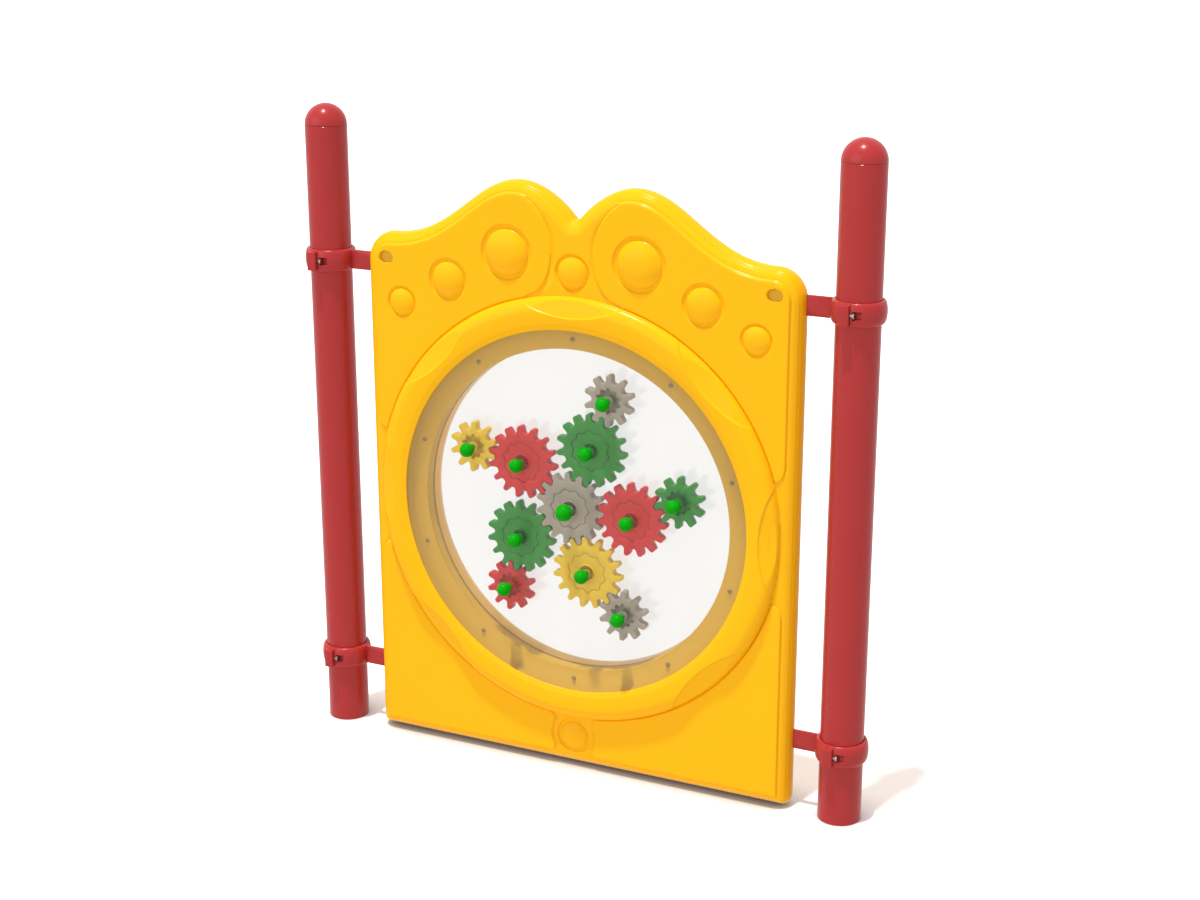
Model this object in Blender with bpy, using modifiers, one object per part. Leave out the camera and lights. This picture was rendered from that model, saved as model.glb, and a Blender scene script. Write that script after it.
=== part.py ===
"""Gear play panel: a moulded panel with eleven meshing gears between two clear windows, held by straps and
clamps between two posts. Metres, +Z up, standing on z = 0, with the gears' side facing -Y."""

import math

import bmesh
import bpy
from mathutils import Matrix, Vector

# General fits and wall thicknesses
FIT = 0.0003
SEAM_GAP = 0.0003
WALL = 0.006
WELD = 0.00001

# How far a tool that cuts runs past the face, and how far a joined shape is sunk
CUT_PAST = 0.010
SINK = 0.001

# Panel, seen from the front: X across, Z up. Its edge is a full round of this radius
EDGE_RADIUS = 0.031
PANEL_HALF_WIDTH = 0.486
PANEL_BOTTOM = 0.005
BOTTOM_CORNER_RADIUS = 0.018

# The round bead and the opening inside it keep these margins to the panel's side and bottom
BEAD_SIDE_MARGIN = 0.028
BEAD_BOTTOM_MARGIN = 0.1142
BEAD_OUTER_RADIUS = PANEL_HALF_WIDTH - BEAD_SIDE_MARGIN
OPENING_HEIGHT = PANEL_BOTTOM + BEAD_BOTTOM_MARGIN + BEAD_OUTER_RADIUS

# Top outline: the shoulders above the bead, and the notch and the humps above the shoulders
SHOULDER_RISE = 0.0948
SHOULDER_HEIGHT = OPENING_HEIGHT + BEAD_OUTER_RADIUS + SHOULDER_RISE
SHOULDER_RADIUS = 0.062
HUMP_OFFSET = 0.130
HUMP_RISE = 0.1285
HUMP_HEIGHT = SHOULDER_HEIGHT + HUMP_RISE
HUMP_OUTER_HANDLE = 0.100
SHOULDER_HANDLE = 0.135
HUMP_INNER_HANDLE = 0.045
NOTCH_DEPTH = 0.0715
NOTCH_HEIGHT = HUMP_HEIGHT - NOTCH_DEPTH
NOTCH_HALF_WIDTH = 0.006
NOTCH_HANDLE = (0.030, 0.036)

# Posts, their domed caps and the distances from the panel to their axes and tops
POST_MARGIN = 0.10325
POST_X = PANEL_HALF_WIDTH + POST_MARGIN
POST_RADIUS = 0.04445
POST_WALL = 0.004
POST_ABOVE_HUMP = 0.0833
POST_TUBE_HEIGHT = HUMP_HEIGHT + POST_ABOVE_HUMP
POST_SEGMENTS = 24
CAP_PLUG_DEPTH = 0.025
CAP_WALL = 0.0035

# Levels are measured forwards from the panel's mid-plane
SEAM_LEVEL = 0.0195
PAD_LEVEL = 0.034
PAD_SINK = 0.007
PAD_MARGIN = 0.0235

# Round bead outside the front window, and the lens-shaped flats on its outer slope
BEAD_CREST_RADIUS = BEAD_OUTER_RADIUS - 0.028
BEAD_CREST_LEVEL = 0.052
BEAD_LIP_RISE = 0.0012
BEAD_LIP_WIDTH = 0.014
BEAD_LIP_FALL = 0.0018
BEAD_HOLLOW_OUTER = BEAD_OUTER_RADIUS - 0.013
BEAD_HOLLOW_INNER = BEAD_HOLLOW_OUTER - 0.042
BEAD_HOLLOW_DRAFT = 0.008
BEAD_HOLLOW_LEVEL = BEAD_CREST_LEVEL - 0.0075
BEAD_HOLLOW_SEGMENTS = 32
LENS_START_RADIUS = BEAD_CREST_RADIUS - 0.014
LENS_SLOPE = 0.30
LENS_LENGTH = 0.300
LENS_ANGLES = (0, 45, 90, 135, 180, 225, 315)

# Opening, flange and window seats inside the bead, all round one centre
LIP_RADIUS = BEAD_OUTER_RADIUS - 0.0673
FRONT_WINDOW_RADIUS = LIP_RADIUS + 0.0025
FRONT_WINDOW_THICKNESS = 0.0047
FRONT_LEDGE_LEVEL = BEAD_CREST_LEVEL - 0.011
FLANGE_RADIUS = LIP_RADIUS - 0.0037
FLANGE_LEVEL = EDGE_RADIUS - 0.001
HOLE_RADIUS = FLANGE_RADIUS - 0.0385
REAR_WINDOW_RADIUS = HOLE_RADIUS + 0.0062
REAR_WINDOW_THICKNESS = 0.005
REAR_LEDGE_LEVEL = -0.001
HOLE_WALL = 0.0085
RING_SEGMENTS = 48

# Raised pads: the two wings above the bead, and the two below
WING_START = (0.100, HUMP_HEIGHT - 0.0325)
WING_WAIST = (0.047, NOTCH_HEIGHT - 0.075)
WAIST_HANDLES = (0.035, 0.060)
WING_END_X = 0.100
PAD_TIP_X = PANEL_HALF_WIDTH - 0.043
LOWER_PAD_INNER_X = 0.050
PAD_GROOVE = 0.002

# Domes: (x, height, dome radius, seat radius, rise), the side ones on both sides
DOME_SMALL = (PANEL_HALF_WIDTH - 0.0895, SHOULDER_HEIGHT - 0.143, 0.030, 0.034, 0.011)
DOME_MEDIUM = (PANEL_HALF_WIDTH - 0.2015, SHOULDER_HEIGHT - 0.085, 0.0375, 0.045, 0.013)
DOME_LARGE = (HUMP_OFFSET + 0.0175, HUMP_HEIGHT - 0.1455, 0.049, 0.058, 0.016)
DOME_CENTRE = (0.0, NOTCH_HEIGHT - 0.102, 0.036, 0.039, 0.012)
MEDALLION = (0.0, PANEL_BOTTOM + 0.070, 0.030, 0.040, 0.010)
DOME_SEAT_DEPTH = 0.0015
DOME_SEGMENTS = 14

# Oval pockets in the top corners
POCKET_X = PANEL_HALF_WIDTH - 0.054
POCKET_HEIGHT = SHOULDER_HEIGHT - 0.051
POCKET_SIZE = (0.034, 0.026)
POCKET_DEPTH = 0.004

# Screws through the flange into bosses of the rear moulding
SCREW_COUNT = 10
SCREW_CIRCLE_RADIUS = HOLE_RADIUS + 0.0207
SCREW_FIRST_ANGLE = 90
SCREW_RADIUS = 0.0025
SCREW_LENGTH = 0.025
SCREW_HEAD_RADIUS = 0.0065
SCREW_HEAD_HEIGHT = 0.0032
SCREW_SEGMENTS = 6
BOSS_RADIUS = 0.0075

# Gears: the cluster's centre, the tooth size and the places of the outer gears
CLUSTER_X = -0.004
CLUSTER_HEIGHT = OPENING_HEIGHT + 0.0108
RING_TEETH = 15
SMALL_TEETH = 10
GEAR_SHARE = 0.40172
MODULE = GEAR_SHARE * HOLE_RADIUS / RING_TEETH
ADDENDUM = MODULE * 6 / 7
DEDENDUM = MODULE * 27 / 28
PRESSURE_ANGLE = 20
FLANK_PLAY = 0.0002
SHOULDER_SHARE = 0.45
CROWN_SHARE = 0.62
CENTRE_PHASE = -1.5
GEAR_FRONT_LEVEL = FRONT_LEDGE_LEVEL - 0.0015
GEAR_THICKNESS = 0.019
RING_HUB_RADIUS = 0.018
SMALL_HUB_RADIUS = 0.012
HUB_SEGMENTS = 12
LOBE_COUNT = 10
LOBE_RADIUS = 0.0255
LOBE_WAVE = 0.003
LOBE_DEPTH = 0.009

# Knobs: a ball on each gear's shaft
SHAFT_RADIUS = 0.006
WINDOW_HOLE_SEGMENTS = 8
SHAFT_END_LEVEL = -0.004
BALL_LEVEL = BEAD_CREST_LEVEL + 0.0135
BALL_RADIUS = 0.015
CENTRE_BALL_RADIUS = 0.018
KNOB_SEGMENTS = 10

# Straps, clamps and their bolts
STRAP_THICKNESS = 0.006
STRAP_WIDTH = 0.041
STRAP_END_X = PANEL_HALF_WIDTH - 0.061
CLAMP_HEIGHTS = {"top": SHOULDER_HEIGHT - 0.0705, "bottom": PANEL_BOTTOM + 0.148}
CLAMP_WIDTH = 0.046
CLAMP_BULGE = 0.0077
CLAMP_FLAT_RADIUS = POST_RADIUS + 0.00255
CLAMP_SPLIT = 0.0006
LUG_WIDTH = 0.020
LUG_RADIUS = POST_RADIUS + 0.01555
LUG_HEIGHT = 0.040
RECESS_FLANGE = 0.004
RECESS_LENGTH = 0.018
RECESS_RADIUS = 0.0085
CLAMP_BOLT_OFFSET = POST_RADIUS + 0.00805
CLAMP_BOLT_RADIUS = 0.003
CLAMP_BOLT_LENGTH = 0.018
BOLT_HEAD_RADIUS = 0.0058
BOLT_HEAD_HEIGHT = 0.0045
BOLT_SEGMENTS = 6
STRAP_BOLT_X = PANEL_HALF_WIDTH - 0.041
STRAP_BOLT_RADIUS = 0.004
STRAP_BOLT_LENGTH = 0.016
STRAP_BOLT_HEAD_RADIUS = 0.008
SEAT_SIZE = 0.036

# Fitting levels and radii
CORE_RADIUS = EDGE_RADIUS - WALL
FRONT_WINDOW_LEVEL = FRONT_LEDGE_LEVEL + FIT
LIP_LEVEL = FRONT_WINDOW_LEVEL + FRONT_WINDOW_THICKNESS + FIT
REAR_WINDOW_LEVEL = REAR_LEDGE_LEVEL + FIT
HUB_REAR_LEVEL = REAR_WINDOW_LEVEL + REAR_WINDOW_THICKNESS + FIT
HUB_FRONT_LEVEL = FRONT_WINDOW_LEVEL - FIT
CLAMP_BORE_RADIUS = POST_RADIUS + FIT

# The object's box is centred on the origin in Y: the knobs reach forwards, the lugs backwards
FRONT_REACH = BALL_LEVEL + CENTRE_BALL_RADIUS
REAR_REACH = LUG_RADIUS
PANEL_Y = (FRONT_REACH - REAR_REACH) / 2

# (name, direction in degrees from the gear that it meshes with, colour)
RING_GEARS = (
    ("upper_left", 142.1, "red"),
    ("top", 70.1, "green"),
    ("right", -1.9, "red"),
    ("bottom", -73.9, "yellow"),
    ("lower_left", -145.9, "green"),
)
SMALL_GEARS = (
    ("upper_left", 170.6, "yellow"),
    ("top", 70.0, "grey"),
    ("right", 26.6, "green"),
    ("bottom", -45.1, "grey"),
    ("lower_left", -103.1, "red"),
)

COLOURS = {
    "panel_yellow": ((0.992, 0.730, 0.012), 0.35, 0.0),
    "post_red": ((0.480, 0.040, 0.035), 0.35, 0.0),
    "red": ((0.413, 0.003, 0.002), 0.45, 0.0),
    "green": ((0.004, 0.165, 0.004), 0.45, 0.0),
    "yellow": ((0.630, 0.386, 0.002), 0.45, 0.0),
    "grey": ((0.202, 0.165, 0.117), 0.45, 0.0),
    "knob_green": ((0.001, 0.352, 0.001), 0.40, 0.0),
    "clear": ((0.900, 0.930, 0.930), 0.05, 0.0),
    "steel": ((0.550, 0.550, 0.540), 0.30, 1.0),
}


def clear_scene():
    """Removes every object that the new file starts with."""
    for obj in list(bpy.data.objects):
        bpy.data.objects.remove(obj, do_unlink=True)


def make_collection(name):
    """Returns a new collection linked to the scene."""
    collection = bpy.data.collections.new(name)
    bpy.context.scene.collection.children.link(collection)
    return collection


def make_material(name):
    """Returns the Principled material for a name in COLOURS."""
    colour, roughness, metallic = COLOURS[name]
    material = bpy.data.materials.new(name)
    material.use_nodes = True
    shader = material.node_tree.nodes["Principled BSDF"]
    shader.inputs["Base Color"].default_value = (*colour, 1.0)
    shader.inputs["Roughness"].default_value = roughness
    shader.inputs["Metallic"].default_value = metallic
    if name == "clear":
        shader.inputs["Transmission Weight"].default_value = 1.0
    return material


def make_empty(name, collection, parent=None, location=(0, 0, 0), rotation=(0, 0, 0)):
    """Returns an empty that places what is parented to it."""
    empty = bpy.data.objects.new(name, None)
    empty.location = location
    empty.rotation_euler = rotation
    empty.parent = parent
    collection.objects.link(empty)
    return empty


def place(name, mesh, collection, parent=None, location=(0, 0, 0), rotation=(0, 0, 0)):
    """Returns an object of the mesh, at a place in its parent's frame."""
    obj = bpy.data.objects.new(name, mesh)
    obj.location = location
    obj.rotation_euler = rotation
    obj.parent = parent
    collection.objects.link(obj)
    return obj


def baked(obj):
    """Returns the evaluated shape of an object as a mesh of its own, and removes the object."""
    bpy.context.view_layer.update()
    graph = bpy.context.evaluated_depsgraph_get()
    mesh = bpy.data.meshes.new_from_object(obj.evaluated_get(graph))
    name = obj.name
    bpy.data.objects.remove(obj, do_unlink=True)
    mesh.name = name
    return mesh


def finished(mesh, transform=None):
    """Welds the mesh's doubled points, turns its faces out and shades it smooth between sharp edges."""
    if transform is not None:
        mesh.transform(transform)
    work = bmesh.new()
    work.from_mesh(mesh)
    bmesh.ops.remove_doubles(work, verts=work.verts, dist=WELD)
    bmesh.ops.recalc_face_normals(work, faces=work.faces)
    work.to_mesh(mesh)
    work.free()
    mesh.shade_smooth()
    mesh.set_sharp_from_angle(angle=math.radians(35))
    return mesh


def raised(level):
    """Returns the move forwards to a level."""
    return Matrix.Translation((0, 0, level))


def flat_shape(name, outlines, bottom, top, bevel=0.0, bevel_resolution=0):
    """Returns a flat outline's solid between two levels. Later outlines inside the first are its holes."""
    curve = bpy.data.curves.new(name, "CURVE")
    curve.dimensions = "2D"
    curve.fill_mode = "BOTH"
    curve.extrude = (top - bottom) / 2 - bevel
    curve.bevel_depth = bevel
    curve.bevel_resolution = bevel_resolution
    for points in outlines:
        spline = curve.splines.new("POLY")
        spline.points.add(len(points) - 1)
        for point, (x, y) in zip(spline.points, points):
            point.co = (x, y, 0, 1)
        spline.use_cyclic_u = True
    obj = place(name, curve, bpy.context.scene.collection)
    mesh = finished(baked(obj), raised((top + bottom) / 2))
    bpy.data.curves.remove(curve)
    return mesh


def turned(name, profile, segments):
    """Returns a solid turned round its own Z. The profile's (radius, level) points run clockwise: down the
    outer side and, where it isn't on the axis, back up the inner side."""
    mesh = bpy.data.meshes.new(name)
    count = len(profile)
    on_axis = profile[0][0] == 0
    edges = [(i, i + 1) for i in range(count - 1)]
    if not on_axis:
        edges.append((count - 1, 0))
    mesh.from_pydata([(radius, 0, level) for radius, level in profile], edges, [])
    obj = place(name, mesh, bpy.context.scene.collection)
    screw = obj.modifiers.new("turn", "SCREW")
    screw.angle = 2 * math.pi
    screw.steps = segments
    screw.render_steps = segments
    screw.use_merge_vertices = True
    screw.merge_threshold = WELD
    return finished(baked(obj))


def box(name, low, high):
    """Returns a box between two corners."""
    work = bmesh.new()
    bmesh.ops.create_cube(work, size=1.0)
    size = [b - a for a, b in zip(low, high)]
    middle = [(a + b) / 2 for a, b in zip(low, high)]
    work.transform(Matrix.Translation(middle) @ Matrix.Diagonal((*size, 1)))
    mesh = bpy.data.meshes.new(name)
    work.to_mesh(mesh)
    work.free()
    return mesh


def beyond(name, bottom, top):
    """Returns a block between two levels that reaches past the panel on every side."""
    across = PANEL_HALF_WIDTH + CUT_PAST
    return box(name, (-across, PANEL_BOTTOM - CUT_PAST, bottom), (across, HUMP_HEIGHT + CUT_PAST, top))


def joined(name, pieces):
    """Returns one mesh of several (mesh, transform) pieces that don't touch."""
    work = bmesh.new()
    for piece, transform in pieces:
        copy = piece.copy()
        copy.transform(transform)
        work.from_mesh(copy)
        bpy.data.meshes.remove(copy)
    mesh = bpy.data.meshes.new(name)
    work.to_mesh(mesh)
    work.free()
    return mesh


class Carver:
    """Makes one solid from a starting mesh by Booleans, whose tools stay as hidden cutters."""

    def __init__(self, name, mesh, cutters):
        self.name = name
        self.cutters = cutters
        self.obj = place(name, mesh, bpy.context.scene.collection)

    def combine(self, operation, label, mesh):
        """Adds one Boolean with a hidden tool of this mesh."""
        tool = place(f"{self.name}_{label}_tool", mesh, self.cutters)
        tool.hide_render = True
        tool.display_type = "WIRE"
        boolean = self.obj.modifiers.new(label, "BOOLEAN")
        boolean.operation = operation
        boolean.solver = "EXACT"
        boolean.object = tool
        return self

    def add(self, label, mesh):
        """Joins a shape on."""
        return self.combine("UNION", label, mesh)

    def cut(self, label, mesh):
        """Cuts a shape away."""
        return self.combine("DIFFERENCE", label, mesh)

    def mesh(self):
        """Returns the carved solid."""
        return finished(baked(self.obj))


def circle(radius, segments, centre=(0, 0)):
    """Returns a circle's points."""
    return [
        (centre[0] + radius * math.cos(2 * math.pi * i / segments),
         centre[1] + radius * math.sin(2 * math.pi * i / segments))
        for i in range(segments)
    ]


def running_radius(shaft_radius, segments):
    """Returns the corner radius of a faceted hole whose flats clear a round shaft."""
    return (shaft_radius + FIT) / math.cos(math.pi / segments)


def arc(centre, radius, start, end, steps):
    """Returns the points of an arc, its angles in degrees."""
    angles = [math.radians(start + (end - start) * i / steps) for i in range(steps + 1)]
    return [(centre[0] + radius * math.cos(a), centre[1] + radius * math.sin(a)) for a in angles]


def bezier(start, handle_start, handle_end, end, steps):
    """Returns the points of a cubic curve."""
    points = []
    for i in range(steps + 1):
        t = i / steps
        weights = ((1 - t) ** 3, 3 * t * (1 - t) ** 2, 3 * t * t * (1 - t), t ** 3)
        corners = (start, handle_start, handle_end, end)
        points.append(tuple(sum(w * c[k] for w, c in zip(weights, corners)) for k in range(2)))
    return points


def quarter_turned(mesh, segments):
    """Turns a faceted round by a quarter of a facet, so that none of its corners lies on its own X or Y."""
    mesh.transform(Matrix.Rotation(math.pi / segments / 2, 4, "Z"))
    return mesh


def disc(name, radius, bottom, top, segments):
    """Returns a plain round solid between two levels."""
    profile = [(0, top), (radius, top), (radius, bottom), (0, bottom)]
    return quarter_turned(turned(name, profile, segments), segments)


def silhouette_half():
    """Returns the right half of the panel's outline, from the notch at the top to the bottom corner."""
    notch = (NOTCH_HALF_WIDTH, NOTCH_HEIGHT + NOTCH_HALF_WIDTH / 2)
    peak = (HUMP_OFFSET, HUMP_HEIGHT)
    corner = (PANEL_HALF_WIDTH - SHOULDER_RADIUS, SHOULDER_HEIGHT - SHOULDER_RADIUS)
    shoulder = (corner[0], SHOULDER_HEIGHT)
    rise = bezier(
        notch,
        (notch[0] + NOTCH_HANDLE[0], notch[1] + NOTCH_HANDLE[1]),
        (peak[0] - HUMP_INNER_HANDLE, peak[1]),
        peak,
        5,
    )
    fall = bezier(
        peak,
        (peak[0] + HUMP_OUTER_HANDLE, peak[1]),
        (shoulder[0] - SHOULDER_HANDLE, shoulder[1]),
        shoulder,
        8,
    )
    turn = arc(corner, SHOULDER_RADIUS, 90, 0, 5)
    return [(0, NOTCH_HEIGHT)] + rise + fall[1:] + turn[1:]


def inset_half(distance):
    """Returns the half outline moved inwards, with its bottom corner last."""
    points = silhouette_half()
    moved = []
    for i, (x, z) in enumerate(points):
        before = points[i - 1] if i else (-points[1][0], points[1][1])
        after = points[i + 1] if i + 1 < len(points) else (x, z - 1)
        along_in = (Vector((x, z)) - Vector(before)).normalized()
        along_out = (Vector(after) - Vector((x, z))).normalized()
        inward_in = Vector((along_in.y, -along_in.x))
        inward_out = Vector((along_out.y, -along_out.x))
        mitre = (inward_in + inward_out) / (1 + inward_in.dot(inward_out))
        moved.append((x + mitre.x * distance, z + mitre.y * distance))
    moved.append((PANEL_HALF_WIDTH - distance, PANEL_BOTTOM + distance))
    return moved


def mirrored(half):
    """Returns a closed outline from a right half that starts on the middle line."""
    return half + [(-x, z) for x, z in reversed(half[1:])]


def rounded_slab(name, radius, bevel_resolution):
    """Returns the panel's full-round slab of this edge radius round the edge's centre line."""
    outline = mirrored(inset_half(EDGE_RADIUS))
    return flat_shape(name, [outline], -radius, radius, radius, bevel_resolution)


def corner_trims():
    """Returns the tool that rounds the panel's two bottom corners."""
    corner = (PANEL_HALF_WIDTH - BOTTOM_CORNER_RADIUS, PANEL_BOTTOM + BOTTOM_CORNER_RADIUS)
    rounding = arc(corner, BOTTOM_CORNER_RADIUS, -90, 0, 4)
    far = (PANEL_HALF_WIDTH + CUT_PAST, PANEL_BOTTOM - CUT_PAST)
    outline = [(corner[0], far[1])] + rounding + [(far[0], corner[1]), far]
    reach = EDGE_RADIUS + CUT_PAST
    return flat_shape("corner_trims", [outline, flipped(outline)], -reach, reach)


def bead_circle_height(x, radius):
    """Returns the height above the floor of the upper side of a circle round the opening."""
    return OPENING_HEIGHT + math.sqrt(radius * radius - x * x)


def wing_outline():
    """Returns the right wing pad: along the panel's edge, round the bead and up the waist by the notch."""
    edge = [point for point in inset_half(PAD_MARGIN)[:-1] if point[0] > WING_START[0]]
    groove = BEAD_OUTER_RADIUS + PAD_GROOVE
    tip_angle = math.degrees(math.acos(PAD_TIP_X / groove))
    end_angle = math.degrees(math.acos(WING_END_X / groove))
    side_x = PANEL_HALF_WIDTH - PAD_MARGIN
    tip = (side_x, bead_circle_height(PAD_TIP_X, groove) + (side_x - PAD_TIP_X))
    inner = arc((0, OPENING_HEIGHT), groove, tip_angle, end_angle, 8)
    end = inner[-1]
    waist = bezier(
        end,
        (WING_WAIST[0], end[1] + WAIST_HANDLES[0]),
        (WING_WAIST[0], WING_WAIST[1] + WAIST_HANDLES[1]),
        WING_START,
        6,
    )
    return edge + [tip] + inner + waist[1:]


def lower_pad_outline():
    """Returns the right lower pad: the corner below the bead."""
    groove = BEAD_OUTER_RADIUS + PAD_GROOVE
    side_x = PANEL_HALF_WIDTH - PAD_MARGIN
    bottom = PANEL_BOTTOM + PAD_MARGIN
    start = -math.degrees(math.acos(LOWER_PAD_INNER_X / groove))
    end = -math.degrees(math.acos(PAD_TIP_X / groove))
    top = arc((0, OPENING_HEIGHT), groove, start, end, 8)
    tip = (side_x, top[-1][1] - (side_x - PAD_TIP_X))
    return top + [tip, (side_x, bottom), (LOWER_PAD_INNER_X, bottom)]


def flipped(outline):
    """Returns an outline mirrored to the left side."""
    return [(-x, z) for x, z in reversed(outline)]


def dome_places():
    """Returns (x, height, dome radius, seat radius, rise, level of the face under it) of every dome."""
    places = []
    for x, height, radius, seat, rise in (DOME_SMALL, DOME_MEDIUM, DOME_LARGE):
        places += [(side * x, height, radius, seat, rise, PAD_LEVEL) for side in (-1, 1)]
    places += [(*dome, EDGE_RADIUS) for dome in (DOME_CENTRE, MEDALLION)]
    return places


def dome(radius, rise, level):
    """Returns a domed button whose foot is sunk below the face."""
    crown = [
        (radius * math.cos(a), level + rise * math.sin(a))
        for a in (math.radians(angle) for angle in (60, 30, 0))
    ]
    foot = level - DOME_SEAT_DEPTH - SINK
    profile = [(0, level + rise)] + crown + [(radius, foot), (0, foot)]
    return turned("dome", profile, DOME_SEGMENTS)


def at_opening():
    """Returns the move to the opening's centre."""
    return Matrix.Translation((0, OPENING_HEIGHT, 0))


def bead_profile():
    """Returns the bead's section, from the lip over the crest to the groove outside it."""
    foot = EDGE_RADIUS - PAD_SINK / 2
    slope = [
        (BEAD_CREST_RADIUS + (BEAD_OUTER_RADIUS - BEAD_CREST_RADIUS) * math.sin(a),
         EDGE_RADIUS + (BEAD_CREST_LEVEL - EDGE_RADIUS) * math.cos(a))
        for a in (math.radians(angle) for angle in (0, 30, 60, 90))
    ]
    inner = LIP_RADIUS - 2 * FIT
    lip = [
        (inner, LIP_LEVEL + BEAD_LIP_RISE),
        (inner + BEAD_LIP_WIDTH, BEAD_CREST_LEVEL - BEAD_LIP_FALL),
    ]
    return lip + slope + [(BEAD_OUTER_RADIUS, foot), (inner, foot)]


def bead_hollow():
    """Returns the hollow behind the bead, open towards the seam."""
    profile = [
        (BEAD_HOLLOW_INNER, BEAD_HOLLOW_LEVEL),
        (BEAD_HOLLOW_OUTER - BEAD_HOLLOW_DRAFT, BEAD_HOLLOW_LEVEL),
        (BEAD_HOLLOW_OUTER, SEAM_LEVEL),
        (BEAD_HOLLOW_INNER - BEAD_HOLLOW_DRAFT, SEAM_LEVEL),
    ]
    mesh = turned("bead_hollow", profile, BEAD_HOLLOW_SEGMENTS)
    mesh.transform(at_opening())
    return mesh


def lens_cutters():
    """Returns the slanted blocks that cut the bead's lens-shaped flats."""
    depth = BEAD_OUTER_RADIUS - LENS_START_RADIUS + CUT_PAST
    block = box("lens", (0, -LENS_LENGTH / 2, 0), (depth, LENS_LENGTH / 2, CUT_PAST))
    slant = Matrix.Rotation(math.atan(LENS_SLOPE), 4, "Y")
    start = Matrix.Translation((LENS_START_RADIUS, 0, BEAD_CREST_LEVEL))
    pieces = [
        (block, at_opening() @ Matrix.Rotation(math.radians(angle), 4, "Z") @ start @ slant)
        for angle in LENS_ANGLES
    ]
    return joined("lens_cutters", pieces)


def front_opening():
    """Returns the stepped hole of the front moulding: hole, flange face, window seat and lip."""
    above = BEAD_CREST_LEVEL + CUT_PAST
    below = -EDGE_RADIUS
    groove = FRONT_WINDOW_RADIUS + FIT
    profile = [
        (0, above),
        (LIP_RADIUS, above),
        (LIP_RADIUS, LIP_LEVEL),
        (groove, LIP_LEVEL),
        (groove, FRONT_LEDGE_LEVEL),
        (FLANGE_RADIUS, FRONT_LEDGE_LEVEL),
        (FLANGE_RADIUS, FLANGE_LEVEL),
        (HOLE_RADIUS, FLANGE_LEVEL),
        (HOLE_RADIUS, below),
        (0, below),
    ]
    mesh = turned("front_opening", profile, RING_SEGMENTS)
    mesh.transform(at_opening())
    return mesh


def screw_places():
    """Returns the moves to the flange screws' axes."""
    step = 360 / SCREW_COUNT
    angles = [math.radians(SCREW_FIRST_ANGLE + step * i) for i in range(SCREW_COUNT)]
    radius = SCREW_CIRCLE_RADIUS
    return [
        at_opening() @ Matrix.Translation((radius * math.cos(a), radius * math.sin(a), 0)) for a in angles
    ]


def oval(size, centre, steps):
    """Returns the points of a flat oval with round ends."""
    half = size[1] / 2
    offset = size[0] / 2 - half
    right = arc((centre[0] + offset, centre[1]), half, -90, 90, steps)
    left = arc((centre[0] - offset, centre[1]), half, 90, 270, steps)
    return right + left


def panel_front_mesh(cutters):
    """Returns the front moulding: the face with its relief, hollow behind and open at the seam."""
    pads = [wing_outline(), flipped(wing_outline()), lower_pad_outline(), flipped(lower_pad_outline())]
    bead = turned("bead", bead_profile(), RING_SEGMENTS)
    bead.transform(at_opening())
    seats = [
        (disc("seat", seat, level - DOME_SEAT_DEPTH, level + CUT_PAST, DOME_SEGMENTS),
         Matrix.Translation((x, z, 0)))
        for x, z, _, seat, _, level in dome_places()
    ]
    half_step = Matrix.Rotation(math.pi / DOME_SEGMENTS, 4, "Z")
    domes = [
        (dome(radius, rise, level), Matrix.Translation((x, z, 0)) @ half_step)
        for x, z, radius, _, rise, level in dome_places()
    ]
    hole = disc("screw_hole", SCREW_RADIUS + FIT, 0, FLANGE_LEVEL + CUT_PAST, SCREW_SEGMENTS)
    pockets = [oval(POCKET_SIZE, (side * POCKET_X, POCKET_HEIGHT), 4) for side in (-1, 1)]
    behind = beyond("behind", -EDGE_RADIUS - CUT_PAST, SEAM_LEVEL + SEAM_GAP / 2)
    carver = Carver("panel_front", rounded_slab("front_slab", EDGE_RADIUS, 2), cutters)
    carver.cut("corners", corner_trims())
    carver.add("pads", flat_shape("pads", pads, PAD_LEVEL - PAD_SINK, PAD_LEVEL))
    carver.add("bead", bead)
    carver.cut("seats", joined("seats", seats))
    carver.add("domes", joined("domes", domes))
    carver.cut("lenses", lens_cutters())
    carver.cut("behind", behind)
    carver.cut("core", rounded_slab("front_core", CORE_RADIUS, 1))
    carver.cut("bead_hollow", bead_hollow())
    carver.cut("opening", front_opening())
    carver.cut("screw_holes", joined("screw_holes", [(hole, move) for move in screw_places()]))
    carver.cut("pockets", flat_shape("pockets", pockets, PAD_LEVEL - POCKET_DEPTH, PAD_LEVEL + CUT_PAST))
    return carver.mesh()


def rear_opening():
    """Returns the stepped hole of the rear moulding, with the rear window's seat."""
    seat = REAR_WINDOW_RADIUS + FIT
    profile = [
        (0, EDGE_RADIUS),
        (seat, EDGE_RADIUS),
        (seat, REAR_LEDGE_LEVEL),
        (HOLE_RADIUS, REAR_LEDGE_LEVEL),
        (HOLE_RADIUS, -EDGE_RADIUS - CUT_PAST),
        (0, -EDGE_RADIUS - CUT_PAST),
    ]
    mesh = turned("rear_opening", profile, RING_SEGMENTS)
    mesh.transform(at_opening())
    return mesh


def strap_places():
    """Returns (side, name, height) of the four straps."""
    return [(side, row, height) for row, height in CLAMP_HEIGHTS.items() for side in (-1, 1)]


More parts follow.
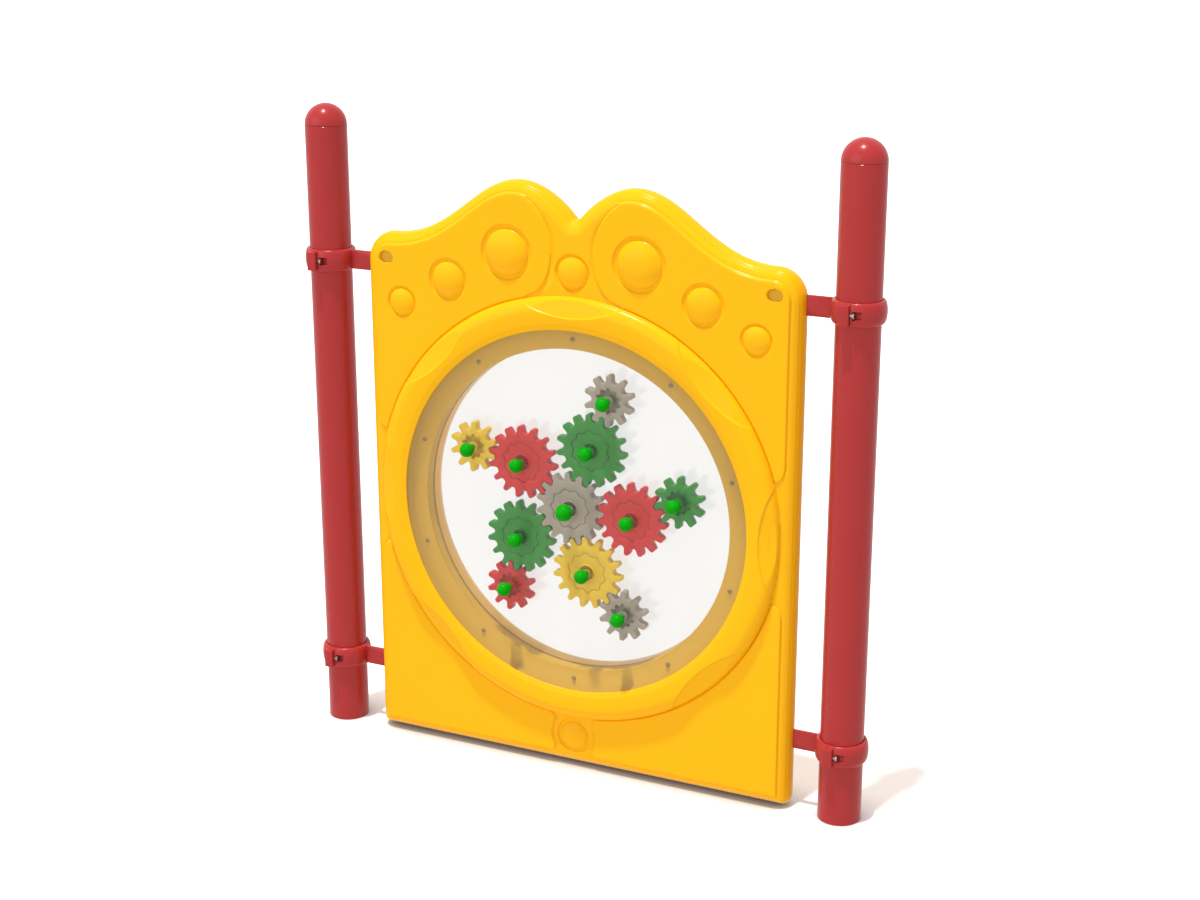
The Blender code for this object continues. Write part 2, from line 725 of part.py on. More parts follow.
def panel_rear_mesh(cutters):
    """Returns the rear moulding: a tray with the hole's wall, the screw bosses and the straps' seats."""
    floor = -EDGE_RADIUS + WALL / 2
    top = SEAM_LEVEL - SEAM_GAP / 2
    outer = REAR_WINDOW_RADIUS + HOLE_WALL
    inner = HOLE_RADIUS - CUT_PAST
    boss_top = EDGE_RADIUS - WALL - SEAM_GAP
    wall_top = boss_top - FIT
    section = [(inner, wall_top), (outer, wall_top), (outer, floor), (inner, floor)]
    wall = turned("hole_wall", section, RING_SEGMENTS)
    wall.transform(at_opening())
    boss = disc("boss", BOSS_RADIUS, floor, boss_top, 8)
    pilot_end = FLANGE_LEVEL - SCREW_LENGTH - SINK
    pilot = disc("pilot", SCREW_RADIUS + FIT, pilot_end, FLANGE_LEVEL, SCREW_SEGMENTS)
    seat_top = -STRAP_THICKNESS / 2 - FIT
    reach = SEAT_SIZE / 2
    seat = box("strap_seat", (-reach, -reach, floor), (reach, reach, seat_top))
    bolt_end = STRAP_THICKNESS / 2 - STRAP_BOLT_LENGTH - SINK
    bolt_hole = disc("bolt_hole", STRAP_BOLT_RADIUS + FIT, bolt_end, 0, BOLT_SEGMENTS)
    slot_size = (WALL + CUT_PAST, STRAP_WIDTH / 2 + FIT, STRAP_THICKNESS / 2 + FIT)
    slot = box("slot", [-size for size in slot_size], slot_size)
    at_edge = [Matrix.Translation((side * PANEL_HALF_WIDTH, height, 0)) for side, _, height in strap_places()]
    at_bolt = [Matrix.Translation((side * STRAP_BOLT_X, height, 0)) for side, _, height in strap_places()]
    carver = Carver("panel_rear", rounded_slab("rear_slab", EDGE_RADIUS, 2), cutters)
    carver.cut("corners", corner_trims())
    carver.cut("front", beyond("front", top, EDGE_RADIUS + CUT_PAST))
    carver.cut("core", rounded_slab("rear_core", CORE_RADIUS, 1))
    carver.add("hole_wall", wall)
    carver.add("bosses", joined("bosses", [(boss, move) for move in screw_places()]))
    carver.add("seats", joined("seats", [(seat, move) for move in at_bolt]))
    carver.cut("opening", rear_opening())
    carver.cut("pilots", joined("pilots", [(pilot, move) for move in screw_places()]))
    carver.cut("slots", joined("slots", [(slot, move) for move in at_edge]))
    carver.cut("bolt_holes", joined("bolt_holes", [(bolt_hole, move) for move in at_bolt]))
    return carver.mesh()


def window_mesh(name, radius, bottom, thickness, gears):
    """Returns a round clear sheet with a hole for each gear's shaft."""
    outlines = [circle(radius, RING_SEGMENTS)]
    hole = running_radius(SHAFT_RADIUS, WINDOW_HOLE_SEGMENTS)
    outlines += [circle(hole, WINDOW_HOLE_SEGMENTS, (gear.x, gear.z - OPENING_HEIGHT)) for gear in gears]
    mesh = flat_shape(name, outlines, bottom, bottom + thickness)
    mesh.transform(at_opening())
    return mesh


class Gear:
    """One gear: its name, place, tooth count, turned start and colour."""

    def __init__(self, name, x, z, teeth, phase, colour):
        self.name = name
        self.x = x
        self.z = z
        self.teeth = teeth
        self.phase = phase
        self.colour = colour


def meshed(parent, name, direction, teeth, colour):
    """Returns the gear that meshes with its parent in a direction, turned so that a gap meets the tooth."""
    angle = math.radians(direction)
    distance = MODULE * (parent.teeth + teeth) / 2
    parent_pitch = 360 / parent.teeth
    pitch = 360 / teeth
    on_parent = (direction - parent.phase) / parent_pitch
    phase = direction + 180 - pitch * (0.5 - on_parent)
    x = parent.x + distance * math.cos(angle)
    z = parent.z + distance * math.sin(angle)
    return Gear(name, x, z, teeth, phase % pitch, colour)


def gear_train():
    """Returns all eleven gears, the centre one first."""
    centre = Gear("centre", CLUSTER_X, CLUSTER_HEIGHT, RING_TEETH, CENTRE_PHASE, "grey")
    ring = [
        meshed(centre, f"ring_{name}", direction, RING_TEETH, colour)
        for name, direction, colour in RING_GEARS
    ]
    small = [
        meshed(driver, f"small_{name}", direction, SMALL_TEETH, colour)
        for driver, (name, direction, colour) in zip(ring, SMALL_GEARS)
    ]
    return [centre] + ring + small


def involute(angle):
    """Returns the involute function of an angle."""
    return math.tan(angle) - angle


def tooth_half_angle(radius, pitch_radius, teeth):
    """Returns half the tooth's angle at a radius, for involute flanks with play."""
    pressure = math.radians(PRESSURE_ANGLE)
    base = pitch_radius * math.cos(pressure)
    here = math.acos(base / radius) if radius > base else 0
    at_pitch = math.pi / (2 * teeth) - FLANK_PLAY / (2 * pitch_radius)
    return at_pitch + involute(pressure) - involute(here)


def tooth_outline(teeth):
    """Returns a gear's toothed outline, with its first tooth centred on the X axis."""
    pitch_radius = MODULE * teeth / 2
    shoulder = pitch_radius + SHOULDER_SHARE * ADDENDUM
    flank = [
        (radius, tooth_half_angle(radius, pitch_radius, teeth))
        for radius in (pitch_radius - DEDENDUM, shoulder)
    ]
    flank.append((pitch_radius + ADDENDUM, CROWN_SHARE * flank[-1][1]))
    sides = [(radius, -half) for radius, half in flank] + [(radius, half) for radius, half in reversed(flank)]
    points = []
    for tooth in range(teeth):
        middle = 2 * math.pi * tooth / teeth
        points += [
            (radius * math.cos(middle + half), radius * math.sin(middle + half)) for radius, half in sides
        ]
    return points


def lobed_outline():
    """Returns the waved outline of the recess round a small gear's hub."""
    count = 2 * LOBE_COUNT
    points = []
    for i in range(count):
        angle = 2 * math.pi * i / count
        radius = LOBE_RADIUS + LOBE_WAVE * math.cos(LOBE_COUNT * angle)
        points.append((radius * math.cos(angle), radius * math.sin(angle)))
    return points


def gear_mesh(teeth, hub_radius, recessed, cutters):
    """Returns a gear with its hub, bored for the shaft."""
    name = f"gear_{teeth}"
    rear = GEAR_FRONT_LEVEL - GEAR_THICKNESS
    bore = running_radius(SHAFT_RADIUS, HUB_SEGMENTS)
    plate_hole = (bore + hub_radius) / 2
    plate = flat_shape(name, [tooth_outline(teeth), circle(plate_hole, HUB_SEGMENTS)], rear, GEAR_FRONT_LEVEL)
    profile = [
        (bore, HUB_FRONT_LEVEL),
        (hub_radius, HUB_FRONT_LEVEL),
        (hub_radius, HUB_REAR_LEVEL),
        (bore, HUB_REAR_LEVEL),
    ]
    carver = Carver(name, plate, cutters)
    if recessed:
        floor = GEAR_FRONT_LEVEL - LOBE_DEPTH
        carver.cut("recess", flat_shape("recess", [lobed_outline()], floor, GEAR_FRONT_LEVEL + CUT_PAST))
    carver.add("hub", turned("hub", profile, HUB_SEGMENTS))
    return carver.mesh()


def knob_mesh(ball_radius):
    """Returns a ball knob with its shaft."""
    steps = KNOB_SEGMENTS // 2
    neck = math.degrees(math.asin(SHAFT_RADIUS / ball_radius))
    ball = arc((0, BALL_LEVEL), ball_radius, 90, -90 + neck, steps)
    shaft = [(SHAFT_RADIUS, SHAFT_END_LEVEL), (0, SHAFT_END_LEVEL)]
    return turned("knob", [(0, BALL_LEVEL + ball_radius)] + ball[1:] + shaft, KNOB_SEGMENTS)


def headed_mesh(name, radius, length, head_radius, head_height, segments):
    """Returns a screw or bolt along Z, its head standing on z = 0 and its shank below."""
    head = [(0, FIT + head_height), (head_radius, FIT + head_height), (head_radius, FIT)]
    shank = [(radius, FIT), (radius, -length), (0, -length)]
    return quarter_turned(turned(name, head + shank, segments), segments)


def post_mesh():
    """Returns the post's tube."""
    inner = POST_RADIUS - POST_WALL
    top = POST_TUBE_HEIGHT - FIT
    return turned("post", [(inner, top), (POST_RADIUS, top), (POST_RADIUS, 0), (inner, 0)], POST_SEGMENTS)


def cap_mesh():
    """Returns the domed cap with its plug, hollow from below, standing on z = 0."""
    plug = POST_RADIUS - POST_WALL - FIT
    inner = plug - CAP_WALL
    outside = arc((0, 0), POST_RADIUS, 90, 0, 5)
    inside = arc((0, 0), inner, 0, 90, 2)
    sleeve = [(plug, 0), (plug, -CAP_PLUG_DEPTH), (inner, -CAP_PLUG_DEPTH)]
    profile = [(0, POST_RADIUS)] + outside[1:] + sleeve + inside[:-1] + [(0, inner)]
    return turned("cap", profile, POST_SEGMENTS)


def clamp_ring():
    """Returns a whole clamp ring with its bulged outside."""
    half = CLAMP_WIDTH / 2
    bulge = [
        (CLAMP_FLAT_RADIUS + CLAMP_BULGE * math.cos(a), half * math.sin(a))
        for a in (math.radians(angle) for angle in (90, 40, 0, -40, -90))
    ]
    return turned("ring", [(CLAMP_BORE_RADIUS, half)] + bulge + [(CLAMP_BORE_RADIUS, -half)], POST_SEGMENTS)


def on_bolt_lines(mesh, start):
    """Returns a shape's two copies on the clamp's bolt lines, front and rear, its Z along X from start."""
    turn = Matrix.Rotation(math.radians(90), 4, "Y")
    places = [Matrix.Translation((start, side * CLAMP_BOLT_OFFSET, 0)) for side in (-1, 1)]
    return joined("bolt_lines", [(mesh, place_here @ turn) for place_here in places])


def clamp_half_mesh(name, side, strap_length, cutters):
    """Returns the half of a clamp on one side of the post. The left halves carry the lugs, the right ones the
    recesses for the bolts' heads, and the panel's halves the strap."""
    gap = CLAMP_SPLIT / 2
    reach = LUG_RADIUS + CUT_PAST
    low, high = sorted((side * gap, -side * reach))
    away = box("away", (low, -reach, -reach), (high, reach, reach))
    carver = Carver(name, clamp_ring(), cutters)
    carver.cut("other_half", away)
    if side < 0:
        lug = box("lug", (-LUG_WIDTH, CLAMP_FLAT_RADIUS, -LUG_HEIGHT / 2), (-gap, LUG_RADIUS, LUG_HEIGHT / 2))
        opposite = Matrix.Rotation(math.radians(180), 4, "X")
        thread_end = RECESS_FLANGE - CLAMP_BOLT_LENGTH - SINK
        thread = disc("thread", CLAMP_BOLT_RADIUS + FIT, thread_end, CUT_PAST, BOLT_SEGMENTS)
        carver.add("lugs", joined("lugs", [(lug, Matrix.Identity(4)), (lug, opposite)]))
        carver.cut("threads", on_bolt_lines(thread, 0))
    else:
        recess = disc("recess", RECESS_RADIUS, 0, RECESS_LENGTH, 8)
        hole = disc("hole", CLAMP_BOLT_RADIUS + FIT, -CUT_PAST, CUT_PAST, BOLT_SEGMENTS)
        carver.cut("recesses", on_bolt_lines(recess, RECESS_FLANGE))
        carver.cut("holes", on_bolt_lines(hole, RECESS_FLANGE))
    if strap_length:
        near = CLAMP_BORE_RADIUS + SINK
        low_x, high_x = sorted((side * near, side * strap_length))
        half = STRAP_THICKNESS / 2
        strap = box("strap", (low_x, -half, -STRAP_WIDTH / 2), (high_x, half, STRAP_WIDTH / 2))
        bolt_hole = disc("bolt_hole", STRAP_BOLT_RADIUS + FIT, -CUT_PAST, CUT_PAST, BOLT_SEGMENTS)
        bolt_x = side * (POST_X - STRAP_BOLT_X)
        turn = Matrix.Rotation(math.radians(90), 4, "X")
        bolt_hole.transform(Matrix.Translation((bolt_x, 0, 0)) @ turn)
        carver.add("strap", strap)
        carver.cut("bolt_hole", bolt_hole)
    return carver.mesh()


def build_posts(parts, root, materials):
    """Adds the posts and their caps."""
    post = post_mesh()
    cap = cap_mesh()
    for side, name in ((-1, "left"), (1, "right")):
        x = side * POST_X
        tube = place(f"post_{name}", post, parts, root, (x, 0, 0))
        finish(tube, materials["post_red"])
        dome_cap = place(f"post_cap_{name}", cap, parts, root, (x, 0, POST_TUBE_HEIGHT))
        finish(dome_cap, materials["post_red"])


def build_clamps(parts, cutters, root, face, materials):
    """Adds the clamps, their bolts and the straps' bolts."""
    length = POST_X - STRAP_END_X
    halves = {
        ("left", "outer"): clamp_half_mesh("clamp_left_outer", -1, 0, cutters),
        ("left", "inner"): clamp_half_mesh("clamp_left_inner", 1, length, cutters),
        ("right", "inner"): clamp_half_mesh("clamp_right_inner", -1, length, cutters),
        ("right", "outer"): clamp_half_mesh("clamp_right_outer", 1, 0, cutters),
    }
    bolt = headed_mesh(
        "clamp_bolt",
        CLAMP_BOLT_RADIUS,
        CLAMP_BOLT_LENGTH,
        BOLT_HEAD_RADIUS,
        BOLT_HEAD_HEIGHT,
        BOLT_SEGMENTS,
    )
    strap_bolt = headed_mesh(
        "strap_bolt",
        STRAP_BOLT_RADIUS,
        STRAP_BOLT_LENGTH,
        STRAP_BOLT_HEAD_RADIUS,
        BOLT_HEAD_HEIGHT,
        BOLT_SEGMENTS,
    )
    for side, row, height in strap_places():
        name = "left" if side < 0 else "right"
        for kind in ("outer", "inner"):
            at = (side * POST_X, 0, height)
            half = place(f"clamp_{kind}_{row}_{name}", halves[name, kind], parts, root, at)
            finish(half, materials["post_red"])
        for face_name, face_side in (("front", -1), ("rear", 1)):
            at = (side * POST_X + RECESS_FLANGE, face_side * CLAMP_BOLT_OFFSET, height)
            turn = (0, math.radians(90), 0)
            one = place(f"clamp_bolt_{face_name}_{row}_{name}", bolt, parts, root, at, turn)
            finish(one, materials["steel"])
        at = (side * STRAP_BOLT_X, height, STRAP_THICKNESS / 2)
        finish(place(f"strap_bolt_{row}_{name}", strap_bolt, parts, face, at), materials["steel"])


def build_panel(parts, cutters, face, gears, materials):
    """Adds the two mouldings, the windows and the flange screws."""
    finish(place("panel_front", panel_front_mesh(cutters), parts, face), materials["panel_yellow"])
    finish(place("panel_rear", panel_rear_mesh(cutters), parts, face), materials["panel_yellow"])
    front = window_mesh(
        "front_window", FRONT_WINDOW_RADIUS, FRONT_WINDOW_LEVEL, FRONT_WINDOW_THICKNESS, gears
    )
    rear = window_mesh("rear_window", REAR_WINDOW_RADIUS, REAR_WINDOW_LEVEL, REAR_WINDOW_THICKNESS, gears)
    finish(place("front_window", front, parts, face), materials["clear"])
    finish(place("rear_window", rear, parts, face), materials["clear"])
    screw = headed_mesh(
        "flange_screw", SCREW_RADIUS, SCREW_LENGTH, SCREW_HEAD_RADIUS, SCREW_HEAD_HEIGHT, SCREW_SEGMENTS
    )
    for number, move in enumerate(screw_places(), start=1):
        at = move.translation + Vector((0, 0, FLANGE_LEVEL))
        finish(place(f"flange_screw_{number:02d}", screw, parts, face, at), materials["steel"])


def build_gears(parts, cutters, face, gears, materials):
    """Adds the gears and their knobs, each with its origin on its own axis."""
    wheels = {
        RING_TEETH: gear_mesh(RING_TEETH, RING_HUB_RADIUS, False, cutters),
        SMALL_TEETH: gear_mesh(SMALL_TEETH, SMALL_HUB_RADIUS, True, cutters),
    }
    knobs = {True: knob_mesh(CENTRE_BALL_RADIUS), False: knob_mesh(BALL_RADIUS)}
    for gear in gears:
        at = (gear.x, gear.z, 0)
        turn = (0, 0, math.radians(gear.phase))
        wheel = place(f"gear_{gear.name}", wheels[gear.teeth], parts, face, at, turn)
        finish(wheel, materials[gear.colour])
        knob = place(f"knob_{gear.name}", knobs[gear.name == "centre"], parts, face, at)
        finish(knob, materials["knob_green"])


def finish(obj, material):
    """Gives the object its own material, on the object and not on a shared mesh."""
    if not obj.data.materials:
        obj.data.materials.append(None)
    obj.material_slots[0].link = "OBJECT"
    obj.material_slots[0].material = material


def main():
    """Builds the whole panel at rest."""
    clear_scene()
    parts = make_collection("gear_play_panel")
    cutters = make_collection("cutters")
    materials = {name: make_material(name) for name in COLOURS}
    root = make_empty("panel_root", parts, location=(0, PANEL_Y, 0))
    face = make_empty("panel_face", parts, root, rotation=(math.radians(90), 0, 0))
    gears = gear_train()
    build_posts(parts, root, materials)
    build_clamps(parts, cutters, root, face, materials)
    build_panel(parts, cutters, face, gears, materials)
    build_gears(parts, cutters, face, gears, materials)


main()
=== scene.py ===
import logging
import math
from dataclasses import dataclass, field
from enum import Enum
from typing import Sequence

import bmesh
import bpy
import numpy as np
from mathutils import Matrix, Vector, kdtree
from mathutils.geometry import delaunay_2d_cdt


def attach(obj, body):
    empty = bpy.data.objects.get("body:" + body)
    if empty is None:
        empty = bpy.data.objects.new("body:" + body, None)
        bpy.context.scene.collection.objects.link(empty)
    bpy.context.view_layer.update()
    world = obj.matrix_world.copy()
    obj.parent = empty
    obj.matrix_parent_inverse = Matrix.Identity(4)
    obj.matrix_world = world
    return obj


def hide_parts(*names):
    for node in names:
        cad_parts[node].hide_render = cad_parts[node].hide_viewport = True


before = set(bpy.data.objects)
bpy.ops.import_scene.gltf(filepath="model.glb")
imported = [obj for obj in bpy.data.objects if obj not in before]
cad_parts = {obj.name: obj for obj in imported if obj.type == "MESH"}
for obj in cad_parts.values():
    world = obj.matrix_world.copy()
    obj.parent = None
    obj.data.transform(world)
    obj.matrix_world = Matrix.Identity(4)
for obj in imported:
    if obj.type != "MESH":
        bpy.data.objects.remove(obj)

log = logging.getLogger("gear_play_panel")

Array = np.ndarray
Node = bpy.types.Node
Socket = bpy.types.NodeSocket

PANEL_Y = 0.01175
POST_X = 0.58925
OPENING = (0.0, 0.5772)
HOLE_RADIUS = 0.3485
CLAMP_HEIGHTS = {"top": 1.0595, "bottom": 0.153}
BOLT_OFFSET = 0.0525
SIDES = ((-1, "left"), (1, "right"))
FIT = 0.0003
FIXED = "panel_frame"
WELD = 2e-6
SLIVER = 1e-7
SAME_POINT = 1e-9
DUST_COLOUR = (0.62, 0.58, 0.50)


class Finish(Enum):
    """The record's material slots that the pieces take their finishes from."""

    PANEL = "panel_yellow"
    POST = "post_red"
    STEEL = "steel"
    SCREW = "screw_steel"
    CLEAR = "window_clear"
    RED = "gear_red"
    GREEN = "gear_green"
    YELLOW = "gear_yellow"
    GREY = "gear_grey"
    KNOB = "knob_green"


def bezier(start: tuple, handle_a: tuple, handle_b: tuple, end: tuple, steps: int) -> Array:
    """Samples a cubic curve.

    Args:
        start: The first point.
        handle_a: The handle beside the first point.
        handle_b: The handle beside the last point.
        end: The last point.
        steps: How many stretches the curve is cut into.

    Returns:
        The points along the curve, both ends among them.
    """
    t = np.linspace(0, 1, steps + 1)[:, None]
    a, b, c, d = (np.array(p, float) for p in (start, handle_a, handle_b, end))
    return (1 - t) ** 3 * a + 3 * (1 - t) ** 2 * t * b + 3 * (1 - t) * t**2 * c + t**3 * d


def arc(centre: tuple, radius: float, first: float, last: float, steps: int) -> Array:
    """Samples a circular arc.

    Args:
        centre: The arc's centre.
        radius: The arc's radius.
        first: The first angle in degrees.
        last: The last angle in degrees.
        steps: How many stretches the arc is cut into.

    Returns:
        The points along the arc, both ends among them.
    """
    a = np.radians(np.linspace(first, last, steps + 1))
    return np.stack([centre[0] + radius * np.cos(a), centre[1] + radius * np.sin(a)], 1)


def circle(radius: float, count: int, centre: tuple = (0.0, 0.0)) -> Array:
    """Returns the points of a closed circle, the last one not repeated."""
    return arc(centre, radius, 0, 360, count)[:-1]


def resampled(loop: Array, step: float) -> Array:
    """Spreads a closed loop's points evenly along it.

    Args:
        loop: The loop's points.
        step: The wanted distance between points.

    Returns:
        The new points, with the first one kept.
    """
    closed = np.vstack([loop, loop[:1]])
    length = np.concatenate([[0], np.cumsum(np.linalg.norm(np.diff(closed, axis=0), axis=1))])
    count = max(8, round(length[-1] / step))
    at = np.linspace(0, length[-1], count + 1)[:-1]
    return np.stack([np.interp(at, length, closed[:, k]) for k in (0, 1)], 1)


def inward(loop: Array) -> Array:
    """Returns the unit normals of a closed loop that point into it, one for each point."""
    along = np.roll(loop, -1, 0) - np.roll(loop, 1, 0)
    along /= np.linalg.norm(along, axis=1)[:, None]
    normal = np.stack([-along[:, 1], along[:, 0]], 1)
    area = np.sum(loop[:, 0] * np.roll(loop[:, 1], -1) - np.roll(loop[:, 0], -1) * loop[:, 1])
    return normal if area > 0 else -normal


def inside(points: Array, loop: Array) -> Array:
    """Tells which points lie within a closed loop.

    Args:
        points: The points to test.
        loop: The loop's points.

    Returns:
        A mask with one entry for each point.
    """
    x, y = points[:, 0], points[:, 1]
    mask = np.zeros(len(points), bool)
    for (ax, ay), (bx, by) in zip(loop, np.roll(loop, -1, 0)):
        if ay != by:
            mask ^= ((ay > y) != (by > y)) & (x < (bx - ax) * (y - ay) / (by - ay) + ax)
    return mask


def search_tree(points: Array) -> kdtree.KDTree:
    """Returns a search tree over flat points."""
    tree = kdtree.KDTree(len(points))
    for i, (x, z) in enumerate(points):
        tree.insert((float(x), float(z), 0.0), i)
    tree.balance()
    return tree


def nearest(tree: kdtree.KDTree, points: Array) -> tuple[Array, Array]:
    """Looks up the nearest point of a tree for each flat point.

    Args:
        tree: The search tree.
        points: The points to look from.

    Returns:
        The numbers of the nearest points and the distances to them.
    """
    found = [tree.find((float(x), float(z), 0.0)) for x, z in points]
    return np.array([row[1] for row in found], int), np.array([row[2] for row in found], float)


def eased(value: Array, half: float) -> Array:
    """Returns a smooth rise from 0 to 1 as a value goes from minus half to plus half."""
    t = np.clip(value / (2 * half) + 0.5, 0, 1)
    return t * t * (3 - 2 * t)


def soft_lower(a: Array, b: Array, blend: float) -> Array:
    """Returns the lower of two levels, with their meeting rounded over the blend."""
    h = np.clip(0.5 + 0.5 * (b - a) / blend, 0, 1)
    return b * (1 - h) + a * h - blend * h * (1 - h)


def triangulated(points: Array, loops: Sequence[Array], holes: Sequence[Array]) -> tuple[Array, Array]:
    """Fills a flat region with triangles.

    Args:
        points: Free points inside the region.
        loops: The region's outer loops.
        holes: The loops of its openings.

    Returns:
        The points used and the triangles as rows of three numbers into them.
    """
    every, edges, start = [], [], 0
    for loop in list(loops) + list(holes):
        count = len(loop)
        edges += [(start + i, start + (i + 1) % count) for i in range(count)]
        every.append(loop)
        start += count
    if len(points):
        every.append(points)
    flat = [Vector((float(p[0]), float(p[1]))) for p in np.vstack(every)]
    verts, _, faces, *_ = delaunay_2d_cdt(flat, edges, [], 0, SAME_POINT, False)
    at = np.array([(v.x, v.y) for v in verts])
    rows = np.array([f for f in faces if len(f) == 3], int)
    middle = at[rows].mean(1)
    keep = np.zeros(len(rows), bool)
    for loop in loops:
        keep |= inside(middle, loop)
    for hole in holes:
        keep &= ~inside(middle, hole)
    return at, rows[keep]


class Draft:
    """Collects the points and faces of one piece, in the axes that it is drawn in."""

    def __init__(self) -> None:
        """Starts an empty piece."""
        self.points: list[Array] = []
        self.faces: list[tuple[int, ...]] = []
        self.normals: list[Array] = []
        self.count = 0

    def add(self, points: Array, faces: Sequence[Sequence[int]], normals: Array | None = None) -> None:
        """Adds points and the faces between them.

        Args:
            points: Rows of three coordinates.
            faces: Rows of point numbers, counted within these points.
            normals: The surface's normals at the points, where they are known.
        """
        self.points.append(np.asarray(points, float))
        self.faces += [tuple(int(i) + self.count for i in face) for face in faces]
        self.normals.append(np.zeros((len(points), 3)) if normals is None else normals)
        self.count += len(points)

    def strip(self, rings: Sequence[Array], closed: bool = True) -> None:
        """Joins rings of the same number of points with four-sided faces.

        Args:
            rings: The rings, each of rows of three coordinates.
            closed: Whether each ring's last point joins its first.
        """
        size = len(rings[0])
        last = size if closed else size - 1
        faces = [
            (r * size + i, r * size + (i + 1) % size, (r + 1) * size + (i + 1) % size, (r + 1) * size + i)
            for r in range(len(rings) - 1)
            for i in range(last)
        ]
        self.add(np.vstack(rings), faces)

    def fan(self, ring: Array, centre: Sequence[float]) -> None:
        """Closes a ring with triangles to one point."""
        size = len(ring)
        self.add(np.vstack([ring, [centre]]), [(i, (i + 1) % size, size) for i in range(size)])

    def flat(self, loops: Sequence[Array], holes: Sequence[Array], level: float) -> None:
        """Fills a flat face between loops at one level of the third axis."""
        at, rows = triangulated(np.zeros((0, 2)), loops, holes)
        self.add(np.column_stack([at, np.full(len(at), level)]), rows)

    def turned(
        self, profile: Sequence[tuple[float, float]], segments: int, centre: tuple = (0.0, 0.0)
    ) -> None:
        """Turns a profile round the third axis.

        Args:
            profile: (radius, level) pairs along the surface; a radius of 0 closes it with a point.
            segments: How many faces go round.
            centre: Where the axis stands.
        """
        for (ra, la), (rb, lb) in zip(profile, profile[1:]):
            if ra == 0 or rb == 0:
                radius, level, tip = (rb, lb, la) if ra == 0 else (ra, la, lb)
                self.fan(raised(circle(radius, segments, centre), level), (*centre, tip))
            else:
                self.strip([raised(circle(r, segments, centre), w) for r, w in ((ra, la), (rb, lb))])

    def block(self, low: Sequence[float], high: Sequence[float], bevel: float) -> None:
        """Adds a block whose edges along the third axis and round both faces are eased.

        Args:
            low: The lowest corner.
            high: The highest corner.
            bevel: The width of the easing.
        """
        (x0, y0, z0), (x1, y1, z1) = low, high
        corners = ((x1, y1, 0), (x0, y1, 90), (x0, y0, 180), (x1, y0, 270))

        def loop(inset: float) -> Array:
            """Returns the block's rounded outline, moved inwards."""
            rows = []
            for cx, cy, start in corners:
                sx, sy = (1 if cx == x1 else -1), (1 if cy == y1 else -1)
                r = 2 * bevel
                rows.append(arc((cx - sx * r, cy - sy * r), r - inset, start, start + 90, 4))
            return np.vstack(rows)

        def at(inset: float, level: float) -> Array:
            """Returns the outline at a level of the third axis."""
            return raised(loop(inset), level)

        low_part = [at(bevel * 0.3, z0 + bevel * 0.3), at(0, z0 + bevel)]
        high_part = [at(0, z1 - bevel), at(bevel * 0.3, z1 - bevel * 0.3)]
        self.strip([at(bevel, z0)] + low_part + high_part + [at(bevel, z1)])
        self.flat([loop(bevel)], [], z0)
        self.flat([loop(bevel)], [], z1)

    def piece(self, name: str, move: Matrix, sharp: float = 40.0) -> bpy.types.Object:
        """Makes the mesh object.

        Args:
            name: The object's name.
            move: The turn and place that takes the draft's axes to the model's.
            sharp: The angle in degrees above which an edge stays crisp.

        Returns:
            The object, welded and smoothly shaded.
        """
        co = np.vstack(self.points)
        turn = np.array(move.to_3x3())
        co = co @ turn.T + np.array(move.translation)
        normals = np.vstack(self.normals) @ turn.T
        bm = bmesh.new()
        mark = bm.verts.layers.float_vector.new("known_normal")
        verts = [bm.verts.new(p) for p in co]
        for vert, normal in zip(verts, normals):
            vert[mark] = Vector(normal)
        for face in self.faces:
            if len(set(face)) > 2:
                bm.faces.new([verts[i] for i in face])
        bmesh.ops.remove_doubles(bm, verts=bm.verts, dist=WELD)
        bmesh.ops.dissolve_degenerate(bm, edges=bm.edges, dist=SLIVER)
        loose = [v for v in bm.verts if not v.link_faces]
        bmesh.ops.delete(bm, geom=loose, context="VERTS")
        bmesh.ops.recalc_face_normals(bm, faces=bm.faces)
        limit = math.radians(sharp)
        for face in bm.faces:
            face.smooth = True
        for edge in bm.edges:
            edge.smooth = not (len(edge.link_faces) == 2 and edge.calc_face_angle(0) > limit)
        mesh = bpy.data.meshes.new(name)
        known = [tuple(v[mark]) for v in bm.verts]
        bm.verts.layers.float_vector.remove(mark)
        bm.to_mesh(mesh)
        bm.free()
        if any(any(n) for n in known):
            mesh.normals_split_custom_set_from_vertices(known)
        obj = bpy.data.objects.new(name, mesh)
        bpy.context.scene.collection.objects.link(obj)
        return obj


def raised(loop: Array, level: float) -> Array:
    """Returns a flat loop's points with a third coordinate."""
    return np.column_stack([loop, np.full(len(loop), level)])


def on_panel() -> Matrix:
    """Returns the move from the panel's axes (x, height, level forwards) to the model's."""
    return Matrix.Translation((0, PANEL_Y, 0)) @ Matrix.Rotation(math.radians(90), 4, "X")


def settle(
    obj: bpy.types.Object, body: str, finish: Finish, material: bpy.types.Material, *nodes: str
) -> None:
    """Gives a piece its body and material, and puts it in the place of its CAD nodes.

    Args:
        obj: The piece.
        body: The body that it rides on.
        finish: The record's slot; not used.
        material: The material that it wears.
        *nodes: The CAD nodes that it stands for.
    """
    obj.data.materials.clear()
    obj.data.materials.append(material)
    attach(obj, body)
    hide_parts(*nodes)
    log.info("%s: %d faces on %s", obj.name, len(obj.data.polygons), body)


